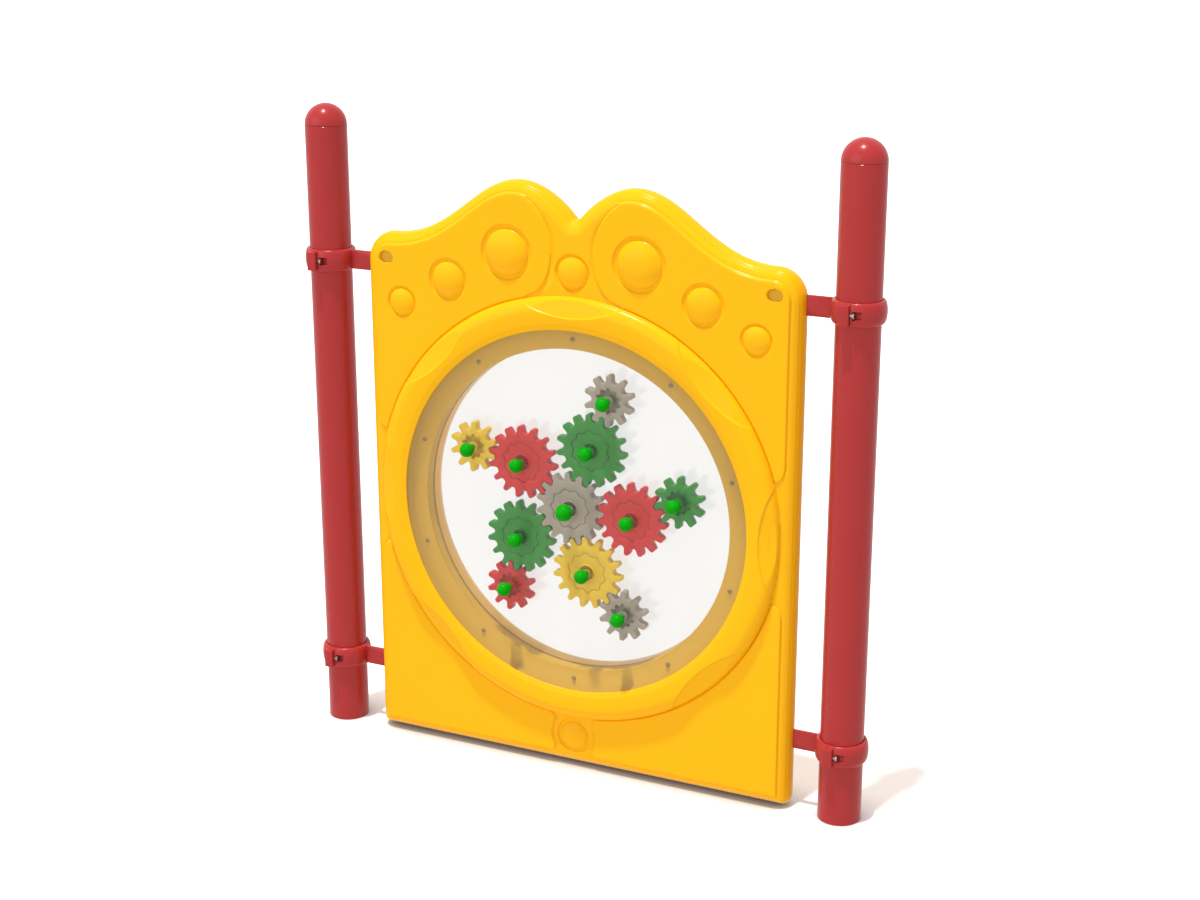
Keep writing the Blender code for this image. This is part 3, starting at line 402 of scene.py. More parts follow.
class Shading:
    """Small helper for one material's or one group's node tree."""

    def __init__(self, tree: bpy.types.NodeTree) -> None:
        """Keeps the tree that the nodes go into."""
        self.tree = tree

    def node(self, kind: str, values: dict | None = None, **settings: object) -> Node:
        """Adds a node.

        Args:
            kind: The node's type name.
            values: Input values by socket name or number.
            **settings: Properties of the node.

        Returns:
            The node.
        """
        node = self.tree.nodes.new(kind)
        for key, value in settings.items():
            setattr(node, key, value)
        for key, value in (values or {}).items():
            node.inputs[key].default_value = value
        return node

    def link(self, source: Socket, target: Socket) -> None:
        """Joins two sockets."""
        self.tree.links.new(source, target)

    def math(self, operation: str, a: Socket | float, b: Socket | float = 0.0, clamp: bool = False) -> Socket:
        """Adds a math node.

        Args:
            operation: The operation's name.
            a: The first socket or number.
            b: The second socket or number.
            clamp: Whether the result stays between 0 and 1.

        Returns:
            The result's socket.
        """
        node = self.node("ShaderNodeMath", operation=operation, use_clamp=clamp)
        for i, value in enumerate((a, b)):
            if isinstance(value, (int, float)):
                node.inputs[i].default_value = value
            else:
                self.link(value, node.inputs[i])
        return node.outputs[0]

    def noise(self, place: Socket, scale: Socket | float, detail: float, roughness: float = 0.5) -> Socket:
        """Adds a noise texture and returns its value."""
        node = self.node("ShaderNodeTexNoise", {"Detail": detail, "Roughness": roughness})
        self.link(place, node.inputs["Vector"])
        if isinstance(scale, (int, float)):
            node.inputs["Scale"].default_value = scale
        else:
            self.link(scale, node.inputs["Scale"])
        return node.outputs["Fac"]

    def mix(self, factor: Socket, a: Socket, b: Socket) -> Socket:
        """Mixes two colours by a factor."""
        node = self.node("ShaderNodeMix", data_type="RGBA")
        self.link(factor, node.inputs["Factor"])
        self.link(a, node.inputs["A"])
        self.link(b, node.inputs["B"])
        return node.outputs["Result"]

    def group(self, tree: bpy.types.NodeTree, values: dict) -> Node:
        """Adds a node group with its input values by name."""
        return self.node("ShaderNodeGroup", values, node_tree=tree)

    def relief(self, skin: Node, distance: float, strength: float, shader: Node) -> None:
        """Gives a shader the bumps of a skin.

        Args:
            skin: The node whose height is used.
            distance: The bumps' height.
            strength: Their strength.
            shader: The shader that gets the normal.
        """
        bump = self.node("ShaderNodeBump", {"Distance": distance, "Strength": strength})
        self.link(skin.outputs["Height"], bump.inputs["Height"])
        self.link(bump.outputs["Normal"], shader.inputs["Normal"])

    def seen(self, path: Node) -> Socket:
        """Returns 1 for a ray that shows in the picture, straight, mirrored or through a window."""
        seen = self.math("ADD", path.outputs["Is Camera Ray"], path.outputs["Is Glossy Ray"], clamp=True)
        return self.math("ADD", seen, path.outputs["Is Transmission Ray"], clamp=True)


def new_material(name: str) -> tuple[bpy.types.Material, Shading, Node]:
    """Starts a material and returns it with its shading helper and its shader."""
    material = bpy.data.materials.new(name)
    material.use_nodes = True
    shading = Shading(material.node_tree)
    return material, shading, shading.tree.nodes["Principled BSDF"]


def new_group(name: str, inputs: Sequence[tuple], outputs: Sequence[tuple]) -> tuple[Shading, Node, Node]:
    """Starts a node group.

    Args:
        name: The group's name.
        inputs: (name, socket type, default) for each input.
        outputs: (name, socket type) for each output.

    Returns:
        The group's shading helper, its input node and its output node.
    """
    tree = bpy.data.node_groups.new(name, "ShaderNodeTree")
    for label, kind, default in inputs:
        socket = tree.interface.new_socket(label, in_out="INPUT", socket_type=kind)
        socket.default_value = default
    for label, kind in outputs:
        tree.interface.new_socket(label, in_out="OUTPUT", socket_type=kind)
    shading = Shading(tree)
    return shading, shading.node("NodeGroupInput"), shading.node("NodeGroupOutput")


class Effects:
    """The surface effects that the finishes share, each a node group."""

    def __init__(self) -> None:
        """Builds every group once."""
        self.drift = self._tone_drift()
        self.skin = self._moulded_skin()
        self.handling = self._handling()
        self.wear = self._edge_wear()

    def tones(self, s: Shading, colour: tuple, other: tuple, amount: float, scale: float = 4.0) -> Socket:
        """Adds the slow change between two colours.

        Args:
            s: The material's shading helper.
            colour: The main colour.
            other: The colour that it drifts to.
            amount: The largest share of the other colour.
            scale: How close the changes follow each other.

        Returns:
            The colour's socket.
        """
        values = {"Colour": (*colour, 1), "Drift Colour": (*other, 1), "Scale": scale, "Amount": amount}
        return s.group(self.drift, values).outputs["Colour"]

    @staticmethod
    def _place(shading: Shading) -> Socket:
        """Returns the object's own coordinates."""
        return shading.node("ShaderNodeTexCoord").outputs["Object"]

    def _tone_drift(self) -> bpy.types.NodeTree:
        """Slow changes of tone, as pigment and sun leave them."""
        s, given, out = new_group(
            "tone_drift",
            [
                ("Colour", "NodeSocketColor", (1, 1, 1, 1)),
                ("Drift Colour", "NodeSocketColor", (1, 1, 1, 1)),
                ("Scale", "NodeSocketFloat", 4.0),
                ("Amount", "NodeSocketFloat", 0.3),
            ],
            [("Colour", "NodeSocketColor")],
        )
        place = self._place(s)
        broad = s.noise(place, given.outputs["Scale"], 3.0)
        fine = s.noise(place, s.math("MULTIPLY", given.outputs["Scale"], 14.0), 5.0, 0.6)
        both = s.math("ADD", s.math("MULTIPLY", broad, 0.75), s.math("MULTIPLY", fine, 0.25))
        spread = s.math("MULTIPLY", s.math("SUBTRACT", both, 0.38), 3.0, clamp=True)
        factor = s.math("MULTIPLY", spread, given.outputs["Amount"], clamp=True)
        s.link(s.mix(factor, given.outputs["Colour"], given.outputs["Drift Colour"]), out.inputs["Colour"])
        return s.tree

    def _moulded_skin(self) -> bpy.types.NodeTree:
        """The slight waviness and fine grain of a moulded or sprayed surface, as a height."""
        s, given, out = new_group(
            "moulded_skin",
            [
                ("Peel Scale", "NodeSocketFloat", 300.0),
                ("Peel", "NodeSocketFloat", 0.5),
                ("Wave Scale", "NodeSocketFloat", 14.0),
                ("Wave", "NodeSocketFloat", 0.5),
            ],
            [("Height", "NodeSocketFloat")],
        )
        place = self._place(s)
        peel = s.noise(place, given.outputs["Peel Scale"], 2.0, 0.55)
        grain = s.noise(place, s.math("MULTIPLY", given.outputs["Peel Scale"], 4.0), 2.0)
        wave = s.noise(place, given.outputs["Wave Scale"], 1.0)
        fine = s.math("ADD", s.math("MULTIPLY", peel, 0.8), s.math("MULTIPLY", grain, 0.2))
        height = s.math(
            "ADD",
            s.math("MULTIPLY", fine, given.outputs["Peel"]),
            s.math("MULTIPLY", wave, given.outputs["Wave"]),
        )
        s.link(height, out.inputs["Height"])
        return s.tree

    def _handling(self) -> bpy.types.NodeTree:
        """Hand marks and dust film: a roughness that changes over the surface, and a dust mask."""
        s, given, out = new_group(
            "handling",
            [
                ("Roughness", "NodeSocketFloat", 0.3),
                ("Spread", "NodeSocketFloat", 0.15),
                ("Scale", "NodeSocketFloat", 9.0),
                ("Dust", "NodeSocketFloat", 0.1),
            ],
            [("Roughness", "NodeSocketFloat"), ("Dust", "NodeSocketFloat")],
        )
        place = self._place(s)
        smear = s.noise(place, given.outputs["Scale"], 4.0, 0.62)
        spots = s.noise(place, s.math("MULTIPLY", given.outputs["Scale"], 11.0), 3.0, 0.7)
        both = s.math("ADD", s.math("MULTIPLY", smear, 0.7), s.math("MULTIPLY", spots, 0.3))
        swing = s.math("MULTIPLY", s.math("SUBTRACT", both, 0.5), given.outputs["Spread"])
        s.link(s.math("ADD", given.outputs["Roughness"], swing, clamp=True), out.inputs["Roughness"])
        speck = s.math("MULTIPLY", s.math("SUBTRACT", spots, 0.56), 6.0, clamp=True)
        s.link(s.math("MULTIPLY", speck, given.outputs["Dust"], clamp=True), out.inputs["Dust"])
        return s.tree

    def _edge_wear(self) -> bpy.types.NodeTree:
        """A mask of the edges that hands and tools rub, broken up by noise."""
        s, given, out = new_group(
            "edge_wear",
            [("Start", "NodeSocketFloat", 0.54), ("Amount", "NodeSocketFloat", 0.5)],
            [("Mask", "NodeSocketFloat")],
        )
        point = s.node("ShaderNodeNewGeometry").outputs["Pointiness"]
        broken = s.noise(self._place(s), 90.0, 4.0, 0.7)
        edge = s.math("MULTIPLY", s.math("SUBTRACT", point, given.outputs["Start"]), 14.0, clamp=True)
        torn = s.math("MULTIPLY", s.math("SUBTRACT", broken, 0.42), 5.0, clamp=True)
        mask = s.math("MULTIPLY", s.math("MULTIPLY", edge, torn), given.outputs["Amount"], clamp=True)
        s.link(mask, out.inputs["Mask"])
        return s.tree


@dataclass(frozen=True)
class Plastic:
    """A glossy pigmented finish: moulded plastic or sprayed powder coat."""

    name: str
    colour: tuple[float, float, float]
    drift_colour: tuple[float, float, float]
    worn_colour: tuple[float, float, float]
    roughness: float = 0.3
    spread: float = 0.14
    coat: float = 0.3
    peel_scale: float = 300.0
    peel: float = 0.5
    wave: float = 0.5
    bump: float = 0.0004
    drift: float = 0.35
    drift_scale: float = 3.0
    wear: float = 0.35
    dust: float = 0.12
    specular: float = 0.30
    bump_strength: float = 0.6
    coat_roughness: float = 0.12

    def material(self, effects: Effects) -> bpy.types.Material:
        """Builds the material from the shared effects.

        Args:
            effects: The node groups.

        Returns:
            The material.
        """
        material, s, shader = new_material(self.name)
        colour = effects.tones(s, self.colour, self.drift_colour, self.drift, self.drift_scale)
        wear = s.group(effects.wear, {"Amount": self.wear})
        worn = s.node("ShaderNodeMix", {"B": (*self.worn_colour, 1)}, data_type="RGBA")
        s.link(wear.outputs["Mask"], worn.inputs["Factor"])
        s.link(colour, worn.inputs["A"])
        touch = {"Roughness": self.roughness, "Spread": self.spread, "Dust": self.dust}
        hands = s.group(effects.handling, touch)
        dusty = s.node("ShaderNodeMix", {"B": (*DUST_COLOUR, 1)}, data_type="RGBA")
        s.link(hands.outputs["Dust"], dusty.inputs["Factor"])
        s.link(worn.outputs["Result"], dusty.inputs["A"])
        s.link(dusty.outputs["Result"], shader.inputs["Base Color"])
        s.link(hands.outputs["Roughness"], shader.inputs["Roughness"])
        skin = s.group(effects.skin, {"Peel Scale": self.peel_scale, "Peel": self.peel, "Wave": self.wave})
        s.relief(skin, self.bump, self.bump_strength, shader)
        shader.inputs["Specular IOR Level"].default_value = self.specular
        shader.inputs["Coat Weight"].default_value = self.coat
        shader.inputs["Coat Roughness"].default_value = self.coat_roughness
        return material


@dataclass(frozen=True)
class Steel:
    """A plated metal finish for screws and bolts."""

    name: str
    colour: tuple[float, float, float] = (0.42, 0.40, 0.37)
    tarnish: tuple[float, float, float] = (0.25, 0.22, 0.19)
    roughness: float = 0.38
    drift: float = 0.45
    drift_scale: float = 120.0
    spread: float = 0.25
    smear_scale: float = 160.0
    peel_scale: float = 1500.0
    wave_scale: float = 200.0
    bump: float = 0.0001
    bump_strength: float = 0.5

    def material(self, effects: Effects) -> bpy.types.Material:
        """Builds the material from the shared effects.

        Args:
            effects: The node groups.

        Returns:
            The material.
        """
        material, s, shader = new_material(self.name)
        colour = effects.tones(s, self.colour, self.tarnish, self.drift, self.drift_scale)
        s.link(colour, shader.inputs["Base Color"])
        touch = {"Roughness": self.roughness, "Spread": self.spread, "Scale": self.smear_scale}
        hands = s.group(effects.handling, touch)
        s.link(hands.outputs["Roughness"], shader.inputs["Roughness"])
        skin = s.group(effects.skin, {"Peel Scale": self.peel_scale, "Wave Scale": self.wave_scale})
        s.relief(skin, self.bump, self.bump_strength, shader)
        shader.inputs["Metallic"].default_value = 1.0
        return material


@dataclass(frozen=True)
class ClearSheet:
    """A clear plastic window with a veil of fine scratches and wiped dust."""

    name: str
    veil: float
    veil_spread: float
    ior: float
    lamp_dimming: float = 0.22
    sky_dimming: float = 0.14
    tint: tuple[float, float, float] = (0.93, 0.93, 0.92)
    drift_tint: tuple[float, float, float] = (0.87, 0.88, 0.88)
    drift: float = 0.5
    veil_scale: float = 5.0
    roughness: float = 0.07
    spread: float = 0.10
    smear_scale: float = 12.0
    peel: float = 0.05
    wave_scale: float = 7.0
    bump: float = 0.0006
    bump_strength: float = 0.4

    def material(self, effects: Effects) -> bpy.types.Material:
        """Builds the material from the shared effects.

        Args:
            effects: The node groups.

        Returns:
            The material.
        """
        material, s, shader = new_material(self.name)
        s.link(effects.tones(s, self.tint, self.drift_tint, self.drift), shader.inputs["Base Color"])
        veil = {"Roughness": self.veil, "Spread": self.veil_spread, "Scale": self.veil_scale}
        film = s.group(effects.handling, veil)
        path = s.node("ShaderNodeLightPath")
        lamp = s.math("MULTIPLY", path.outputs["Is Shadow Ray"], self.lamp_dimming)
        sky = s.math("MULTIPLY", path.outputs["Is Diffuse Ray"], self.sky_dimming)
        held = s.math("ADD", film.outputs["Roughness"], s.math("ADD", lamp, sky), clamp=True)
        s.link(held, shader.inputs["Alpha"])
        touch = {"Roughness": self.roughness, "Spread": self.spread, "Scale": self.smear_scale}
        hands = s.group(effects.handling, touch)
        s.link(hands.outputs["Roughness"], shader.inputs["Roughness"])
        skin = s.group(effects.skin, {"Peel": self.peel, "Wave Scale": self.wave_scale})
        s.relief(skin, self.bump, self.bump_strength, shader)
        shader.inputs["IOR"].default_value = self.ior
        return material


class Palette:
    """Every material of the panel, by the part's finish."""

    def __init__(self) -> None:
        """Builds the shared effects and then the materials."""
        effects = Effects()
        panel = Plastic(
            "yellow_moulding", (0.985, 0.500, 0.004), (0.950, 0.452, 0.003), (1.0, 0.66, 0.08),
            roughness=0.23, coat=0.0, peel_scale=420.0, peel=0.25, wave=0.5, bump=0.0004, wear=0.15,
            dust=0.012, specular=0.12,
        )
        # Painted shade: a darker yellow for the faces behind the front window and for the pockets' floors, in
        # place of their shade; the specks on it are dust.
        recess = Plastic(
            "yellow_recess_painted_shade", (0.720, 0.420, 0.030), (0.640, 0.380, 0.036), (0.80, 0.55, 0.12),
            roughness=0.45, coat=0.0, peel_scale=420.0, peel=0.3, wave=0.4, bump=0.0003, wear=0.1, dust=0.10,
            specular=0.09,
        )
        post = Plastic(
            "red_powder_coat", (0.425, 0.029, 0.029), (0.395, 0.025, 0.024), (0.55, 0.08, 0.07),
            roughness=0.27, coat=0.12, peel_scale=650.0, peel=0.15, wave=0.3, bump=0.00012, wear=0.08,
            dust=0.004, specular=0.20, drift=0.22, spread=0.08,
        )
        gear = {"roughness": 0.36, "coat": 0.1, "peel_scale": 800.0, "wave": 0.3, "bump": 0.0002}
        gear |= {"drift_scale": 14.0, "dust": 0.02, "specular": 0.15}
        self.materials: dict[Finish, bpy.types.Material] = {
            Finish.PANEL: panel.material(effects),
            Finish.POST: post.material(effects),
            Finish.STEEL: Steel("plated_bolt").material(effects),
            Finish.SCREW: Steel("dull_screw", (0.36, 0.27, 0.12), (0.22, 0.16, 0.07), 0.45).material(effects),
            Finish.RED: Plastic(
                "red_gear", (0.660, 0.008, 0.004), (0.580, 0.006, 0.004), (0.80, 0.10, 0.08), **gear
            ).material(effects),
            Finish.GREEN: Plastic(
                "green_gear", (0.009, 0.270, 0.006), (0.007, 0.220, 0.005), (0.08, 0.42, 0.08), **gear
            ).material(effects),
            Finish.YELLOW: Plastic(
                "yellow_gear", (0.840, 0.575, 0.008), (0.770, 0.510, 0.007), (0.95, 0.74, 0.16), **gear
            ).material(effects),
            Finish.GREY: Plastic(
                "grey_gear", (0.420, 0.360, 0.282), (0.370, 0.315, 0.246), (0.50, 0.45, 0.38), **gear
            ).material(effects),
            Finish.KNOB: Plastic(
                "green_knob", (0.002, 0.340, 0.003), (0.002, 0.270, 0.003), (0.10, 0.50, 0.10),
                roughness=0.24, coat=0.04, peel_scale=900.0, peel=0.2, wave=0.2, bump=0.0002,
                drift_scale=20.0, wear=0.15, dust=0.004, specular=0.05,
            ).material(effects),
        }
        # The darker yellow of painted shade for the recesses.
        self.recess = recess.material(effects)
        self.front_sheet = ClearSheet("front_clear_sheet", 0.040, 0.015, 2.2).material(effects)
        self.rear_sheet = ClearSheet("rear_clear_sheet", 0.150, 0.020, 5.0).material(effects)

    def of(self, finish: Finish) -> bpy.types.Material:
        """Returns a finish's material."""
        return self.materials[finish]


@dataclass(frozen=True)
class Dome:
    """A shallow dome in its seat on the panel's face."""

    x: float
    z: float
    radius: float
    seat: float
    rise: float
    level: float


@dataclass
class PanelForm:
    """The panel's outline and the height of its face at any place."""

    half_width: float = 0.486
    bottom: float = 0.005
    corner_radius: float = 0.018
    edge_radius: float = 0.031
    opening: tuple[float, float] = OPENING
    shoulder: tuple[float, float] = (0.424, 1.130)
    shoulder_radius: float = 0.062
    shoulder_handle: float = 0.135
    hump: tuple[float, float] = (0.130, 1.2585)
    hump_handles: tuple[float, float] = (0.045, 0.100)
    notch_height: float = 1.187
    notch_lip: tuple[float, float] = (0.006, 0.003)
    notch_handle: float = 0.036
    pad_margin: float = 0.0235
    pad_rise: float = 0.003
    pad_ease: float = 0.0016
    pad_groove: float = 0.30
    pad_groove_shift: float = 0.0026
    pad_groove_width: float = 0.0010
    groove_radius: float = 0.460
    bead_crest: tuple[float, float] = (0.430, 0.052)
    bead_outer: float = 0.458
    lip_radius: float = 0.3907
    lip_round: float = 0.0005
    lip_fold: tuple[float, float] = (0.4030, 0.0503)
    lip_slope: float = 0.270
    lens_start: float = 0.416
    lens_arc: float = 0.2545
    lens_slope: float = 0.24
    lens_angles: tuple[int, ...] = (0, 45, 90, 135, 180, 225, 315)
    lens_blend: float = 0.0004
    lens_step: float = 0.0028
    lens_step_shift: float = 0.0012
    lens_step_ease: float = 0.0020
    seat_depth: float = 0.0044
    seat_shift: float = 0.0014
    seat_ease: float = 0.0030
    dome_crown: float = 2.5
    dome_rim: float = 0.72
    dome_drop: float = 0.0010
    pocket: tuple[float, float] = (0.432, 1.079)
    pocket_size: tuple[float, float] = (0.034, 0.026)
    pocket_depth: float = 0.0068
    pocket_shift: float = 0.0005
    pocket_ease: float = 0.0006
    tip_x: float = 0.443
    boss_radius: float = 0.0515
    neck_half: float = 0.0460
    pad_corner: float = 0.012
    rim_clear: float = 0.017
    wing_start: tuple[float, float] = (0.100, 1.226)
    wing_waist: tuple[float, float] = (0.0300, 1.112)
    waist_handles: tuple[float, float] = (0.035, 0.060)
    domes: list[Dome] = field(default_factory=list)

    def __post_init__(self) -> None:
        """Lays out the domes, the outline in fine and in coarse steps, and the waist curve."""
        level = self.edge_radius + self.pad_rise
        for side in (-1, 1):
            self.domes.append(Dome(side * 0.3965, 0.987, 0.030, 0.034, 0.011, level))
            self.domes.append(Dome(side * 0.2845, 1.045, 0.0375, 0.045, 0.013, level))
            self.domes.append(Dome(side * 0.1475, 1.113, 0.049, 0.058, 0.016, level))
        self.domes.append(Dome(0.0, 1.083, 0.034, 0.039, 0.012, self.edge_radius))
        self.domes.append(Dome(0.0, 0.073, 0.031, 0.040, 0.010, self.edge_radius))
        self.outline = resampled(self._outline_curve(), 0.0010)
        self.columns = resampled(self._outline_curve(), 0.0040)
        self._edge = search_tree(self.outline)
        height = self.on_groove(self.wing_start[0])
        low, high = self.waist_handles
        self.waist = bezier(
            (self.wing_start[0], height),
            (self.wing_waist[0], height + low),
            (self.wing_waist[0], self.wing_waist[1] + high),
            self.wing_start,
            260,
        )
        self._waist = search_tree(self.waist)

    def on_groove(self, x: float) -> float:
        """Returns the height at which the groove round the bead passes a place."""
        return self.opening[1] + math.sqrt(self.groove_radius**2 - x * x)

    def _outline_curve(self) -> Array:
        """Returns the panel's outline in fine steps, clockwise from the notch."""
        corner = (self.half_width - self.shoulder_radius, self.shoulder[1] - self.shoulder_radius)
        foot = (self.half_width - self.corner_radius, self.bottom + self.corner_radius)
        notch = (self.notch_lip[0], self.notch_height + self.notch_lip[1])
        floor = (0.0, self.notch_height)
        before, after = self.hump_handles
        half = np.vstack(
            [
                bezier(floor, (0.0030, floor[1]), (0.0043, notch[1] - 0.0020), notch, 12),
                bezier(
                    notch,
                    (self.notch_handle, notch[1] + self.notch_handle),
                    (self.hump[0] - before, self.hump[1]),
                    self.hump,
                    200,
                )[1:],
                bezier(
                    self.hump,
                    (self.hump[0] + after, self.hump[1]),
                    (self.shoulder[0] - self.shoulder_handle, self.shoulder[1]),
                    self.shoulder,
                    400,
                )[1:],
                arc(corner, self.shoulder_radius, 90, 0, 90)[1:],
                arc(foot, self.corner_radius, 0, -90, 40),
            ]
        )
        left = half[::-1][:-1] * np.array([-1.0, 1.0])
        return np.vstack([half, left])

    def edge_distance(self, points: Array) -> Array:
        """Returns how far each point lies from the outline.

        Args:
            points: Flat points inside the panel.

        Returns:
            The distances.
        """
        near, _ = nearest(self._edge, points)
        best = np.full(len(points), np.inf)
        for step in (-1, 1):
            a = self.outline[near]
            b = self.outline[(near + step) % len(self.outline)]
            ab = b - a
            t = np.clip(np.sum((points - a) * ab, 1) / np.sum(ab * ab, 1), 0, 1)
            best = np.minimum(best, np.linalg.norm(points - a - t[:, None] * ab, axis=1))
        return best

    def waist_distance(self, points: Array) -> Array:
        """Returns how far each point lies outside the waist curve, less than zero between the wings."""
        across = np.abs(points[:, 0])
        _, found = nearest(self._waist, np.stack([across, points[:, 1]], 1))
        at = np.interp(points[:, 1], self.waist[:, 1], self.waist[:, 0])
        return np.where(across > at, found, -found)

    def radius(self, points: Array) -> Array:
        """Returns each point's distance from the opening's centre."""
        return np.hypot(points[:, 0] - self.opening[0], points[:, 1] - self.opening[1])

    def round_level(self, distance: Array) -> Array:
        """Returns the full-round edge's level at a distance from the outline."""
        t = np.clip(1 - distance / self.edge_radius, 0, 1)
        return self.edge_radius * np.sqrt(1 - t * t)

    def pad_offset(self, points: Array, distance: Array, blend: float) -> Array:
        """Returns how far each point lies inside a pad's edge, less than zero beside the pads.

        Args:
            points: Flat points inside the panel.
            distance: Their distances from the outline.
            blend: How far the pads' corners are rounded.

        Returns:
            The distances.
        """
        across, height = np.abs(points[:, 0]), points[:, 1]
        around = soft_lower(distance - self.pad_margin, self.radius(points) - self.groove_radius, blend)
        tip = self.on_groove(self.tip_x)
        upper = soft_lower(
            self.waist_distance(points), (height - across - (tip - self.tip_x)) / math.sqrt(2), blend
        )
        low_tip = 2 * self.opening[1] - tip
        boss = self.domes[-1]
        beside_boss = soft_lower(
            across - self.neck_half, np.hypot(across, height - boss.z) - self.boss_radius, 0.5 * blend
        )
        lower = soft_lower(beside_boss, (low_tip + self.tip_x - height - across) / math.sqrt(2), blend)
        return soft_lower(around, np.where(height > self.opening[1], upper, lower), blend)

    def pad_share(self, points: Array, distance: Array) -> Array:
        """Returns 1 on the raised pads, 0 beside them, and a smooth step with a fine groove at its foot.

        Args:
            points: Flat points inside the panel.
            distance: Their distances from the outline.

        Returns:
            The share of the pad's rise.
        """
        off = self.pad_offset(points, distance, self.pad_corner)
        aside = (off + self.pad_groove_shift) / self.pad_groove_width
        return eased(off, self.pad_ease) - self.pad_groove * np.exp(-(aside**2))

    def bead_level(self, radius: Array) -> Array:
        """Returns the bead's level at a radius from the opening's centre, or less than zero off it."""
        crest, top = self.bead_crest
        fold, fold_level = self.lip_fold
        fall = np.clip((crest - radius) / (crest - fold), 0, 1)
        slope = np.maximum(fold - radius, 0) * self.lip_slope
        inner = top - (top - fold_level) * fall**2 - slope
        lip = np.clip(self.lip_round - (radius - self.lip_radius), 0, self.lip_round)
        inner -= self.lip_round - np.sqrt(self.lip_round**2 - lip**2)
        out = np.clip((radius - crest) / (self.bead_outer - crest), 0, 1)
        outer = self.edge_radius + (top - self.edge_radius) * np.sqrt(1 - out**2)
        return np.where(radius < crest, inner, np.where(radius <= self.bead_outer, outer, -1.0))

    def _domed(self, points: Array, level: Array) -> Array:
        """Adds the domes in their seats to the face's levels."""
        for dome in self.domes:
            far = np.hypot(points[:, 0] - dome.x, points[:, 1] - dome.z)
            sunk = level - self.seat_depth * (1 - eased(far - dome.seat + self.seat_shift, self.seat_ease))
            share = np.clip(far / dome.radius, 0, 1)
            cap = (dome.rise - self.dome_drop) * (1 - share**self.dome_crown) ** self.dome_rim
            level = np.where(far < dome.radius, dome.level - self.seat_depth + cap, sunk)
        return level

    def _pocketed(self, points: Array, level: Array) -> Array:
        """Sinks the two oval pockets into the face's levels."""
        half = self.pocket_size[1] / 2
        reach = self.pocket_size[0] / 2 - half
        over = np.maximum(np.abs(np.abs(points[:, 0]) - self.pocket[0]) - reach, 0)
        off = np.hypot(over, points[:, 1] - self.pocket[1]) - half
        return level - self.pocket_depth * (1 - eased(off + self.pocket_shift, self.pocket_ease))

    def _flattened_bead(self, points: Array) -> Array:
        """Returns the bead's levels with its lens-shaped flats cut, less than zero off the bead."""
        bead = self.bead_level(self.radius(points))
        x, z = points[:, 0] - self.opening[0], points[:, 1] - self.opening[1]
        for angle in self.lens_angles:
            a = math.radians(angle)
            along, aside = x * math.cos(a) + z * math.sin(a), z * math.cos(a) - x * math.sin(a)
            into = self.lens_arc - np.hypot(along - self.lens_start - self.lens_arc, aside)
            plane = self.bead_crest[1] - self.lens_slope * np.maximum(into, 0)
            step = self.lens_step * eased(into - self.lens_step_shift, self.lens_step_ease)
            cut = soft_lower(bead, plane, self.lens_blend) - step
            bead = np.where((into > -0.001) & (bead > 0), cut, bead)
        return bead

    def height(self, points: Array) -> Array:
        """Returns the level of the panel's face.

        Args:
            points: Flat points between the outline and the opening.

        Returns:
            The level at each point.
        """
        distance = self.edge_distance(points)
        level = self.round_level(distance) + self.pad_rise * self.pad_share(points, distance)
        level = self._pocketed(points, self._domed(points, level))
        return np.maximum(level, self._flattened_bead(points))

    def normals(self, points: Array) -> Array:
        """Returns the face's normals from the height on both sides of each point."""
        step = 0.00012
        slopes = []
        for way in (np.array([step, 0.0]), np.array([0.0, step])):
            slopes.append((self.height(points + way) - self.height(points - way)) / (2 * step))
        rows = np.stack([-slopes[0], -slopes[1], np.ones(len(points))], 1)
        return rows / np.linalg.norm(rows, axis=1)[:, None]


